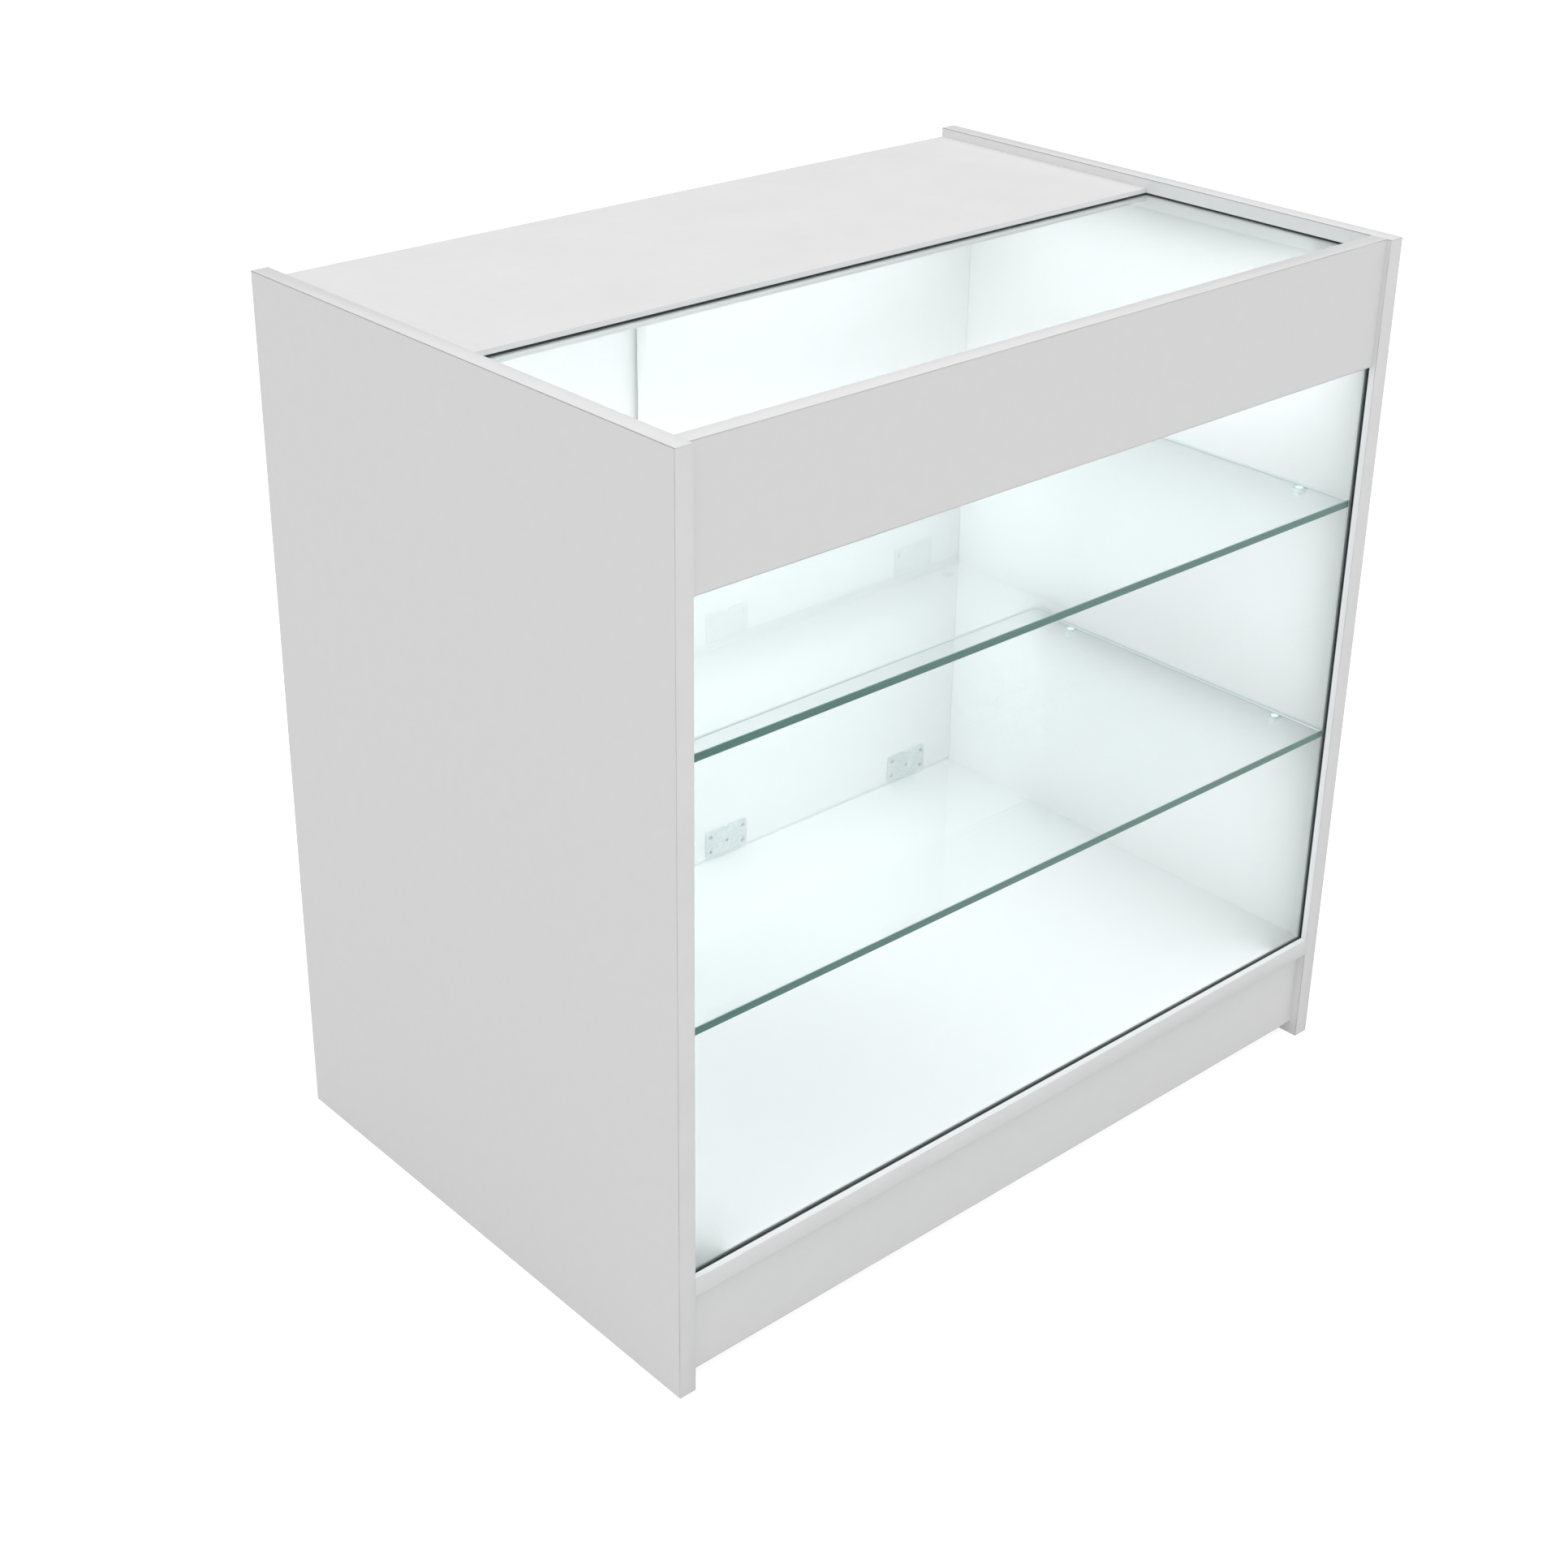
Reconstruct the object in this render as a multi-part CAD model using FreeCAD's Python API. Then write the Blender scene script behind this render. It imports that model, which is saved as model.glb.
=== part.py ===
import FreeCAD, Part
import math
import os

# A shop display counter: a white board carcase with a glass front, a half glass
# top, two glass shelves, a light bar behind the apron, and two doors at the back
# that slide past each other on rollers.
# +X is the right hand of a customer who faces the front glass, +Y points to the
# doors and +Z points up. The origin is on the floor under the middle.

# Whole counter
overall_width = 900.0
overall_depth = 600.0
overall_height = 900.0

# Boards and their edge bands
board = 18.0
band = 1.0
deck_level = 123.0
side_upstand = 10.0
worktop_depth = 298.0
apron_height = 127.5
apron_recess = 5.0
kick_recess = 10.0
kick_lift = 14.0

# One overrun lets every cut pass its face
overrun = 1.0

# Glazing: panes, their rubber channels and the grooves
front_pane = 6.0
top_pane = 6.0
pane_entry = 5.0
rubber_back = 1.0
front_rubber_lip = 1.3
top_rubber_lip = 1.0
apron_front_lip = 2.4
worktop_upper_lip = 4.5
pane_lift_room = 5.5

# Glass shelves
shelf_thickness = 8.0
shelf_depth = 403.0
shelf_side_gap = 1.0
shelf_front_gap = 1.0
shelf_front_corner = 1.5
shelf_rear_corner = 12.0
shelf_arris = 0.5
upper_shelf_level = 632.0
lower_shelf_level = 374.0

# Shelf pegs and their clear pads
peg_front_inset = 57.8
peg_rear_inset = 56.2
peg_pin_radius = 2.5
peg_pin_length = 9.0
peg_hole_depth = 10.0
peg_hole_clearance = 0.05
peg_collar_radius = 4.5
peg_collar_thickness = 1.5
peg_arm_radius = 3.6
peg_arm_length = 10.0
peg_tab_rise = 4.7
peg_tab_width = 12.0
peg_tab_thickness = 1.5
pad_radius = 4.0
pad_thickness = 1.0

# Sliding doors
door_board = 16.0
door_gap = 5.0
door_setback = 17.0
door_overlap = 74.0
door_side_gap = 2.0
door_foot_gap = 1.0
door_head_gap = 3.0
door_band = 1.0

# Door tracks
track_base = 1.2
rail_height = 2.8
rail_width = 1.6
top_track_height = 8.0
top_track_web = 1.5
top_track_leg = 1.5
guide_channel = 8.0
track_edge_margin = 5.5
track_end_gap = 1.0
track_screw_inset = 60.0
track_screw_count = 4

# Door fittings: one plate shape serves the rollers and the top guides
plate_width = 60.0
plate_height = 33.0
plate_thickness = 2.0
plate_corner = 3.0
plate_notch_radius = 3.0
plate_edge_gap = 1.0
plate_screw_span_x = 48.0
plate_screw_span_z = 19.0
plate_inset_meeting = 104.8
plate_inset_closing = 76.7
housing_width = 40.0
housing_height = 28.0
housing_depth = 12.0
housing_fit = 0.2
adjuster_drop = 2.0
adjuster_radius = 2.2
adjuster_depth = 4.5

# Rollers
roller_tread_radius = 9.5
roller_flange_radius = 11.5
roller_width = 5.0
roller_groove_clearance = 0.3
roller_rail_clearance = 0.3
roller_slot_clearance = 0.3
roller_flange_slope = 0.5
axle_radius = 2.0
axle_running_clearance = 0.05
axle_front_wall = 2.0

# Top guides
guide_width = 30.0
guide_entry = 3.5
guide_side_clearance = 0.3

# Flush finger pulls
pull_inset = 60.0
pull_level = 500.0
pull_radius = 17.3
pull_depth = 10.0
pull_wall = 1.0
pull_flange_radius = 20.0
pull_flange_thickness = 0.8
pull_hole_clearance = 0.2

# Door bumpers
bumper_radius = 4.0
bumper_clearance = 0.3
bumper_end_distance = 100.0

# Countersunk and pan head screws
screw_radius = 1.7
screw_head_radius = 3.2
screw_length = 12.0
screw_hole_clearance = 0.05
recess_width = 0.9
recess_span = 3.8
recess_depth = 1.0
pan_head_height = 1.5

# Cam fittings and dowels that hold the boards between the sides
cam_inset = 34.0
cam_radius = 7.5
cam_depth = 12.5
cam_clearance = 0.1
cam_slot_clearance = 0.3
bolt_radius = 2.5
bolt_head_radius = 3.5
bolt_head_length = 3.0
bolt_thread_depth = 10.5
bolt_bore_radius = 4.0
dowel_radius = 4.0
dowel_length = 30.0
dowel_side_depth = 10.0
dowel_chamfer = 1.0
dowel_clearance = 0.05
dowel_end_room = 0.3
deck_cam_offset = 200.0
deck_dowel_offset = 110.0
worktop_cam_margin = 70.0
apron_cam_drop = 68.0
apron_dowel_offset = 30.0
kick_dowel_offset = 25.0

# Light bar behind the apron
light_end_room = 20.0
channel_width = 14.0
channel_height = 9.0
channel_wall = 1.2
channel_drop = 38.0
light_board_width = 10.0
light_board_thickness = 1.2
chip_length = 3.5
chip_width = 2.8
chip_height = 0.7
chip_pitch = 33.0
diffuser_thickness = 1.2
end_cap_thickness = 2.0
clip_count = 3
clip_spread = 300.0
clip_width = 14.0
clip_thickness = 1.0
clip_rise = 11.0
clip_hook = 8.0
clip_toe = 1.6
clip_screw_length = 10.0
clip_screw_rise = 6.0

# Low voltage lead in its groove, and the inlet in the rear kick board
lead_radius = 1.8
lead_groove_width = 4.4
lead_groove_depth = 4.4
lead_level = 80.0
lead_exit_inset = 120.0
lead_join_inset = 88.0
lead_entry_turn = 10.0
lead_corner_turn = 20.0
lead_exit_turn = 28.0
lead_join_turn = 22.0
saddle_length = 12.0
saddle_width = 10.0
saddle_thickness = 1.0
saddle_height_shares = (0.28, 0.56, 0.84)
saddle_run_shares = (0.4, 0.8)
inlet_side_inset = 52.0
inlet_barrel_radius = 4.0
inlet_hole_clearance = 0.1
inlet_flange_radius = 6.5
inlet_flange_thickness = 1.5
inlet_bore_radius = 1.8
inlet_bore_depth = 14.0
inlet_tail_radius = 5.0
inlet_tail_length = 14.0
inlet_nut_flats = 11.0
inlet_nut_thickness = 2.5

# Planes that the boards share
half_width = overall_width / 2
inner_half = half_width - board
front_y = -overall_depth / 2
rear_y = overall_depth / 2
deck_under = deck_level - board
worktop_level = overall_height - side_upstand
worktop_under = worktop_level - board
worktop_front = rear_y - worktop_depth
apron_front = front_y + apron_recess
apron_back = apron_front + board
apron_foot = overall_height - apron_height
front_kick_face = front_y + kick_recess
rear_kick_face = rear_y - kick_recess

# Front pane and its groove
groove_depth = pane_entry + rubber_back
front_groove_y = apron_front + apron_front_lip
front_pane_y = front_groove_y + front_rubber_lip
front_pane_back = front_pane_y + front_pane
front_groove_back = front_pane_back + front_rubber_lip

# Top pane and its groove
top_groove_top = worktop_level - worktop_upper_lip
top_pane_top = top_groove_top - top_rubber_lip
top_pane_under = top_pane_top - top_pane
top_groove_under = top_pane_under - top_rubber_lip

# Shelves
shelf_half = inner_half - shelf_side_gap
shelf_front = front_pane_back + shelf_front_gap
shelf_back = shelf_front + shelf_depth
peg_rows = (shelf_front + peg_front_inset, shelf_back - peg_rear_inset)

# Doors: the right one runs on the inner rail, the left one on the outer rail
outer_door_y = rear_y - door_setback - door_board
inner_door_y = outer_door_y - door_gap - door_board
door_closing_x = inner_half - door_side_gap
door_meeting_x = -door_overlap / 2
rail_top = deck_level + track_base + rail_height
door_foot = rail_top + door_foot_gap
top_track_foot = worktop_under - top_track_height
door_head = top_track_foot - door_head_gap
plate_foot = door_foot + plate_edge_gap
plate_head = door_head - plate_edge_gap
roller_axis_z = rail_top + roller_rail_clearance + roller_tread_radius
track_low_y = inner_door_y + door_board / 2 - track_edge_margin
track_high_y = outer_door_y + door_board / 2 + track_edge_margin
track_screw_y = (inner_door_y + outer_door_y + door_board) / 2

# Light bar and lead
channel_top = overall_height - channel_drop
channel_foot = channel_top - channel_height
channel_y = apron_back + clip_thickness
channel_back = channel_y + channel_width
light_half = inner_half - light_end_room
lead_y = channel_y + channel_width / 2
lead_x = -inner_half - lead_groove_depth / 2
lead_start_z = channel_top - channel_height / 2
lead_exit_y = rear_y - lead_exit_inset
lead_join_y = rear_y - lead_join_inset
inlet_x = -inner_half + inlet_side_inset

RIGHT = 1
LEFT = -1
X_AXIS = FreeCAD.Vector(1, 0, 0)
Y_AXIS = FreeCAD.Vector(0, 1, 0)
Z_AXIS = FreeCAD.Vector(0, 0, 1)
FULL_TURN = 360
HEXAGON = 6


def box(x, y, z):
    """A block between two values on each axis, given in either order."""
    low = FreeCAD.Vector(min(x), min(y), min(z))
    return Part.makeBox(max(x) - min(x), max(y) - min(y), max(z) - min(z), low)


def both_ways(value):
    return (-value, value)


def rod(radius, start, end):
    """A round bar from one point to another."""
    start = FreeCAD.Vector(*start)
    along = FreeCAD.Vector(*end) - start
    return Part.makeCylinder(radius, along.Length, start, along)


def joined(shapes):
    return shapes[0].fuse(shapes[1:]).removeSplitter()


def group(solids):
    return Part.makeCompound(solids)


def turned(points, axis_point, axis):
    """A full turn of a flat outline, which makes one solid."""
    outline = Part.Face(Part.makePolygon(points + points[:1]))
    return outline.revolve(axis_point, axis, FULL_TURN)


def spread(low, high, count):
    """Evenly spaced places from low to high."""
    return [low + (high - low) * step / (count - 1) for step in range(count)]


# Grooves that the panes and their rubber channels stand in

def front_groove():
    return box(
        both_ways(inner_half + groove_depth),
        (front_groove_y, front_groove_back),
        (deck_level - groove_depth, apron_foot + groove_depth + pane_lift_room),
    )


def top_groove():
    return box(
        both_ways(inner_half + groove_depth),
        (apron_back - groove_depth, worktop_front + groove_depth),
        (top_groove_under, top_groove_top),
    )


# Fixings: where each board is held at its two ends

def fixings():
    """For each board: the way its cams face, its cam places and its dowel places in Y and Z."""
    deck_z = deck_level - board / 2
    top_z = worktop_level - board / 2
    apron_y = apron_front + board / 2
    apron_z = overall_height - apron_cam_drop
    kick_z = (kick_lift + deck_under) / 2
    front_kick_y = front_kick_face + board / 2
    rear_kick_y = rear_kick_face - board / 2
    top_cams = (worktop_front + worktop_cam_margin, rear_y - worktop_cam_margin)
    apron_dowels = (apron_z - apron_dowel_offset, apron_z + apron_dowel_offset)
    kick_dowels = (kick_z - kick_dowel_offset, kick_z + kick_dowel_offset)
    return {
        "deck": (
            -Z_AXIS,
            [(y, deck_z) for y in both_ways(deck_cam_offset)],
            [(y, deck_z) for y in both_ways(deck_dowel_offset)],
        ),
        "worktop": (
            -Z_AXIS,
            [(y, top_z) for y in top_cams],
            [(sum(top_cams) / 2, top_z)],
        ),
        "apron": (Y_AXIS, [(apron_y, apron_z)], [(apron_y, z) for z in apron_dowels]),
        "front_kick": (Y_AXIS, [(front_kick_y, kick_z)], [(front_kick_y, z) for z in kick_dowels]),
        "rear_kick": (-Y_AXIS, [(rear_kick_y, kick_z)], [(rear_kick_y, z) for z in kick_dowels]),
    }


def board_bores(name):
    """Cam bores, bolt bores and dowel holes in one board, at both ends."""
    facing, cams, dowels = fixings()[name]
    bores = []
    for side in (LEFT, RIGHT):
        end = side * inner_half
        cam_x = side * (inner_half - cam_inset)
        for y, z in cams:
            face = FreeCAD.Vector(cam_x, y, z) + facing * (board / 2)
            bottom = face - facing * cam_depth
            bores.append(rod(cam_radius, face + facing * overrun, bottom))
            bores.append(rod(bolt_bore_radius, (end + side * overrun, y, z), (cam_x, y, z)))
        for y, z in dowels:
            hole_end = end - side * (dowel_length - dowel_side_depth + dowel_end_room)
            hole_start = (end + side * overrun, y, z)
            bores.append(rod(dowel_radius + dowel_clearance, hole_start, (hole_end, y, z)))
    return bores


def side_bores(side):
    """Bolt and dowel holes in the inner face of one side panel."""
    start = side * (inner_half - overrun)
    bores = []
    for _, cams, dowels in fixings().values():
        for y, z in cams:
            end = side * (inner_half + bolt_thread_depth + dowel_end_room)
            bores.append(rod(bolt_radius + dowel_clearance, (start, y, z), (end, y, z)))
        for y, z in dowels:
            end = side * (inner_half + dowel_side_depth + dowel_end_room)
            bores.append(rod(dowel_radius + dowel_clearance, (start, y, z), (end, y, z)))
    return bores


def cam_locks():
    """Round cams, each with a way in for the bolt and a pocket for its head."""
    cams = []
    for facing, places, _ in fixings().values():
        for side in (LEFT, RIGHT):
            x = side * (inner_half - cam_inset)
            for y, z in places:
                middle = FreeCAD.Vector(x, y, z)
                face = middle + facing * (board / 2)
                cam = rod(cam_radius - cam_clearance, face, face - facing * cam_depth)
                way_in = rod(
                    bolt_radius + cam_slot_clearance,
                    middle,
                    middle + X_AXIS * (side * (cam_radius + overrun)),
                )
                head_reach = bolt_head_length + cam_slot_clearance
                pocket = rod(
                    bolt_head_radius + cam_slot_clearance,
                    middle - X_AXIS * (side * cam_slot_clearance),
                    middle + X_AXIS * (side * head_reach),
                )
                cams.append(cam.cut([way_in, pocket] + driver_slots(face, facing)))
    return group(cams)


def cam_bolts():
    bolts = []
    for _, places, _ in fixings().values():
        for side in (LEFT, RIGHT):
            head_x = side * (inner_half - cam_inset)
            neck_x = head_x + side * bolt_head_length
            thread_x = side * (inner_half + bolt_thread_depth)
            for y, z in places:
                head = rod(bolt_head_radius, (head_x, y, z), (neck_x, y, z))
                shank = rod(bolt_radius, (neck_x, y, z), (thread_x, y, z))
                bolts.append(joined([head, shank]))
    return group(bolts)


def wood_dowels():
    dowels = []
    for _, _, places in fixings().values():
        for side in (LEFT, RIGHT):
            outer_x = side * (inner_half + dowel_side_depth)
            inner_x = outer_x - side * dowel_length
            for y, z in places:
                pin = rod(dowel_radius, (outer_x, y, z), (inner_x, y, z))
                rims = [edge for edge in pin.Edges if len(edge.Vertexes) == 1]
                dowels.append(pin.makeChamfer(dowel_chamfer, rims))
    return group(dowels)


# Screws

def driver_slots(face, facing):
    """The two crossed slots that a driver turns, cut into a face that looks along facing."""
    depth = facing * recess_depth
    across = X_AXIS if abs(facing.x) == 0 else Z_AXIS
    other = facing.cross(across)
    slots = []
    for long_way, short_way in ((across, other), (other, across)):
        reach = long_way * (recess_span / 2) + short_way * (recess_width / 2)
        corners = (face - reach - depth, face + reach + facing * overrun)
        slots.append(box(*[(corners[0][axis], corners[1][axis]) for axis in range(len(face))]))
    return slots


def countersunk_screw(face, facing, length):
    """A screw whose flat head lies level with a face that looks along facing."""
    head_height = screw_head_radius - screw_radius
    head = Part.makeCone(screw_head_radius, screw_radius, head_height, face, -facing)
    shank = rod(screw_radius, face - facing * head_height, face - facing * length)
    return joined([head, shank]).cut(driver_slots(face, facing))


def countersunk_hole(face, facing, length):
    """The matching hole, a little wider than the shank."""
    wide = screw_head_radius + screw_hole_clearance
    narrow = screw_radius + screw_hole_clearance
    head = Part.makeCone(wide, narrow, wide - narrow, face, -facing)
    shank = rod(narrow, face + facing * overrun, face - facing * (length + screw_hole_clearance))
    return joined([head, shank])


def pan_screw(seat, facing, length):
    """A screw whose raised head stands on a seat that looks along facing."""
    head = rod(screw_head_radius, seat, seat + facing * pan_head_height)
    shank = rod(screw_radius, seat, seat - facing * length)
    top = seat + facing * pan_head_height
    return joined([head, shank]).cut(driver_slots(top, facing))


def pan_hole(seat, facing, length):
    narrow = screw_radius + screw_hole_clearance
    return rod(narrow, seat + facing * overrun, seat - facing * (length + screw_hole_clearance))


# Boards of the carcase

def side_panel(side):
    panel = box(
        (side * inner_half, side * half_width),
        (front_y + band, rear_y - band),
        (0, overall_height - band),
    )
    cuts = [front_groove(), top_groove()] + peg_holes(side) + side_bores(side)
    if side == LEFT:
        cuts = cuts + lead_grooves()
    return panel.cut(cuts)


def side_edge_bands(side):
    """Front, rear and top strips; the top one covers the ends of the others."""
    x = (side * inner_half, side * half_width)
    upright = (0, overall_height - band)
    return group([
        box(x, (front_y, front_y + band), upright),
        box(x, (rear_y - band, rear_y), upright),
        box(x, (front_y, rear_y), (overall_height - band, overall_height)),
    ])


def deck_panel():
    panel = box(both_ways(inner_half), (front_y + band, rear_y - band), (deck_under, deck_level))
    return panel.cut([front_groove()] + board_bores("deck") + bottom_track_holes())


def deck_edge_bands():
    z = (deck_under, deck_level)
    return group([
        box(both_ways(inner_half), (front_y, front_y + band), z),
        box(both_ways(inner_half), (rear_y - band, rear_y), z),
    ])


def worktop_panel():
    panel = box(
        both_ways(inner_half),
        (worktop_front + band, rear_y - band),
        (worktop_under, worktop_level),
    )
    return panel.cut([top_groove()] + board_bores("worktop") + top_track_holes())


def worktop_edge_bands():
    """The rear strip, and the front strip that the pane groove parts in two."""
    z = (worktop_under, worktop_level)
    front = box(both_ways(inner_half), (worktop_front, worktop_front + band), z)
    rear = box(both_ways(inner_half), (rear_y - band, rear_y), z)
    return group(front.cut(top_groove()).Solids + [rear])


def front_apron():
    panel = box(
        both_ways(inner_half),
        (apron_front, apron_back),
        (apron_foot + band, overall_height - band),
    )
    return panel.cut([front_groove(), top_groove()] + board_bores("apron") + clip_screw_holes())


def apron_edge_bands():
    """The top strip, and the bottom strip that the pane groove parts in two."""
    y = (apron_front, apron_back)
    top = box(both_ways(inner_half), y, (overall_height - band, overall_height))
    foot = box(both_ways(inner_half), y, (apron_foot, apron_foot + band))
    return group([top] + foot.cut(front_groove()).Solids)


def front_kick_board():
    panel = box(
        both_ways(inner_half),
        (front_kick_face, front_kick_face + board),
        (kick_lift + band, deck_under),
    )
    return panel.cut(board_bores("front_kick"))


def rear_kick_board():
    panel = box(
        both_ways(inner_half),
        (rear_kick_face - board, rear_kick_face),
        (kick_lift + band, deck_under),
    )
    hole = rod(
        inlet_barrel_radius + inlet_hole_clearance,
        (inlet_x, rear_kick_face - board - overrun, lead_level),
        (inlet_x, rear_kick_face + overrun, lead_level),
    )
    return panel.cut(board_bores("rear_kick") + [hole])


def kick_edge_bands():
    z = (kick_lift, kick_lift + band)
    return group([
        box(both_ways(inner_half), (front_kick_face, front_kick_face + board), z),
        box(both_ways(inner_half), (rear_kick_face - board, rear_kick_face), z),
    ])


# Glazing

def front_glass():
    return box(
        both_ways(inner_half + pane_entry),
        (front_pane_y, front_pane_back),
        (deck_level - pane_entry, apron_foot + pane_entry),
    )


def top_glass():
    return box(
        both_ways(inner_half + pane_entry),
        (apron_back - pane_entry, worktop_front + pane_entry),
        (top_pane_under, top_pane_top),
    )


def front_glass_rubber():
    """One channel round all four edges of the front pane."""
    y = (front_groove_y, front_groove_back)
    frame = box(
        both_ways(inner_half + groove_depth),
        y,
        (deck_level - groove_depth, apron_foot + groove_depth),
    )
    sight = box(
        both_ways(inner_half),
        (front_groove_y - overrun, front_groove_back + overrun),
        (deck_level, apron_foot),
    )
    return frame.cut([sight, front_glass()])


def top_glass_rubber():
    """One channel round all four edges of the top pane."""
    sight = box(
        both_ways(inner_half),
        (apron_back, worktop_front),
        (top_groove_under - overrun, top_groove_top + overrun),
    )
    return top_groove().cut([sight, top_glass()])


# Shelves and their pegs

def glass_shelf(level):
    """A pane with rounded corners and a small arris along each long edge."""
    pane = box(both_ways(shelf_half), (shelf_front, shelf_back), (level - shelf_thickness, level))
    middle_y = (shelf_front + shelf_back) / 2
    uprights = [edge for edge in pane.Edges if abs(edge.tangentAt(0).z) > 0]
    front = [edge for edge in uprights if edge.CenterOfMass.y < middle_y]
    pane = pane.makeFillet(shelf_front_corner, front)
    uprights = [
        edge for edge in pane.Edges
        if isinstance(edge.Curve, Part.Line) and abs(edge.tangentAt(0).z) > 0
    ]
    rear = [edge for edge in uprights if edge.CenterOfMass.y > middle_y]
    pane = pane.makeFillet(shelf_rear_corner, rear)
    rims = [
        edge for edge in pane.Edges
        if min(abs(edge.CenterOfMass.z - z) for z in (level, level - shelf_thickness)) == 0
    ]
    return pane.makeChamfer(shelf_arris, rims)


def peg_axis_z(level):
    return level - shelf_thickness - pad_thickness - peg_tab_rise


def peg_holes(side):
    holes = []
    for level in (upper_shelf_level, lower_shelf_level):
        z = peg_axis_z(level)
        for y in peg_rows:
            start = (side * (inner_half - overrun), y, z)
            end = (side * (inner_half + peg_hole_depth), y, z)
            holes.append(rod(peg_pin_radius + peg_hole_clearance, start, end))
    return holes


def shelf_peg(side, y, level):
    """A pin with a collar, a round arm and a flat tab that carries the pad."""
    z = peg_axis_z(level)
    wall = side * inner_half
    tip = wall - side * peg_arm_length
    tab_top = level - shelf_thickness - pad_thickness
    pin = rod(peg_pin_radius, (wall + side * peg_pin_length, y, z), (wall, y, z))
    collar_end = wall - side * peg_collar_thickness
    collar = rod(peg_collar_radius, (wall, y, z), (collar_end, y, z))
    arm = rod(peg_arm_radius, (wall, y, z), (tip, y, z))
    tab = box(
        (wall, tip),
        (y - peg_tab_width / 2, y + peg_tab_width / 2),
        (tab_top - peg_tab_thickness, tab_top),
    )
    return joined([pin, collar, arm, tab])


def shelf_pegs(level):
    return group([shelf_peg(side, y, level) for side in (LEFT, RIGHT) for y in peg_rows])


def shelf_pads(level):
    pads = []
    top = level - shelf_thickness
    for side in (LEFT, RIGHT):
        x = side * (inner_half - peg_arm_length / 2)
        for y in peg_rows:
            pads.append(rod(pad_radius, (x, y, top - pad_thickness), (x, y, top)))
    return group(pads)


# Door tracks

def track_screw_places():
    end = inner_half - track_screw_inset
    return [(x, track_screw_y) for x in spread(-end, end, track_screw_count)]


def bottom_track_holes():
    seat_z = deck_level + track_base
    return [
        pan_hole(FreeCAD.Vector(x, y, seat_z), Z_AXIS, screw_length)
        for x, y in track_screw_places()
    ]


def top_track_holes():
    seat_z = worktop_under - top_track_web
    return [
        pan_hole(FreeCAD.Vector(x, y, seat_z), -Z_AXIS, screw_length)
        for x, y in track_screw_places()
    ]


def bottom_door_track():
    """A flat strip with one thin rail for each door."""
    x = both_ways(inner_half - track_end_gap)
    parts = [box(x, (track_low_y, track_high_y), (deck_level, deck_level + track_base))]
    for door_y in (inner_door_y, outer_door_y):
        middle = door_y + door_board / 2
        rail = (middle - rail_width / 2, middle + rail_width / 2)
        parts.append(box(x, rail, (deck_level, rail_top)))
    return joined(parts).cut(bottom_track_holes())


def top_door_track():
    """A web under the worktop with two channels that open downwards."""
    x = both_ways(inner_half - track_end_gap)
    web = (worktop_under - top_track_web, worktop_under)
    parts = [box(x, (track_low_y, track_high_y), web)]
    for door_y in (inner_door_y, outer_door_y):
        middle = door_y + door_board / 2
        for way in (LEFT, RIGHT):
            near = middle + way * guide_channel / 2
            far = near + way * top_track_leg
            parts.append(box(x, (near, far), (top_track_foot, worktop_under)))
    return joined(parts).cut(top_track_holes())


def track_screws():
    screws = []
    for x, y in track_screw_places():
        low_seat = FreeCAD.Vector(x, y, deck_level + track_base)
        high_seat = FreeCAD.Vector(x, y, worktop_under - top_track_web)
        screws.append(pan_screw(low_seat, Z_AXIS, screw_length))
        screws.append(pan_screw(high_seat, -Z_AXIS, screw_length))
    return group(screws)


def door_bumpers():
    """Soft discs on both sides, where each door's edge comes to rest."""
    heights = (door_foot + bumper_end_distance, door_head - bumper_end_distance)
    discs = []
    for side in (LEFT, RIGHT):
        wall = side * inner_half
        tip = wall - side * (door_side_gap - bumper_clearance)
        for door_y in (inner_door_y, outer_door_y):
            y = door_y + door_board / 2
            discs.extend(rod(bumper_radius, (wall, y, z), (tip, y, z)) for z in heights)
    return group(discs)


# Doors. side is RIGHT or LEFT, and face_y is the door's face towards the shelves

def plate_places(side):
    """The middles of a door's two fitting plates along X."""
    return (
        side * (door_meeting_x + plate_inset_meeting),
        side * (door_closing_x - plate_inset_closing),
    )


def plate_screw_places(side):
    """Each corner screw of the four plates, as X and Z."""
    heights = (plate_foot + plate_height / 2, plate_head - plate_height / 2)
    return [
        (x + dx, z + dz)
        for x in plate_places(side)
        for z in heights
        for dx in both_ways(plate_screw_span_x / 2)
        for dz in both_ways(plate_screw_span_z / 2)
    ]


def plate_screw_holes(side, face_y):
    """Holes through the plates and on into the door."""
    seat_y = face_y - plate_thickness
    return [
        countersunk_hole(FreeCAD.Vector(x, seat_y, z), -Y_AXIS, screw_length)
        for x, z in plate_screw_places(side)
    ]


def housing_box(x, face_y, z, growth):
    """The block of a fitting that is let into the door; z gives its low and high level."""
    return box(
        (x - housing_width / 2 - growth, x + housing_width / 2 + growth),
        (face_y, face_y + housing_depth + growth),
        (z[0] - growth, z[1] + growth),
    )


def door_pockets(side, face_y):
    """Recesses for the roller housings and top guides, open at the door's edge."""
    pockets = []
    for x in plate_places(side):
        low = (door_foot - overrun, plate_foot + housing_height)
        high = (plate_head - housing_height, door_head + overrun)
        pockets.append(housing_box(x, face_y, low, housing_fit))
        pockets.append(housing_box(x, face_y, high, housing_fit))
    return pockets


def pull_place(side, face_y):
    """The middle of the finger pull on the door's outer face."""
    return FreeCAD.Vector(side * (door_closing_x - pull_inset), face_y + door_board, pull_level)


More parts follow.
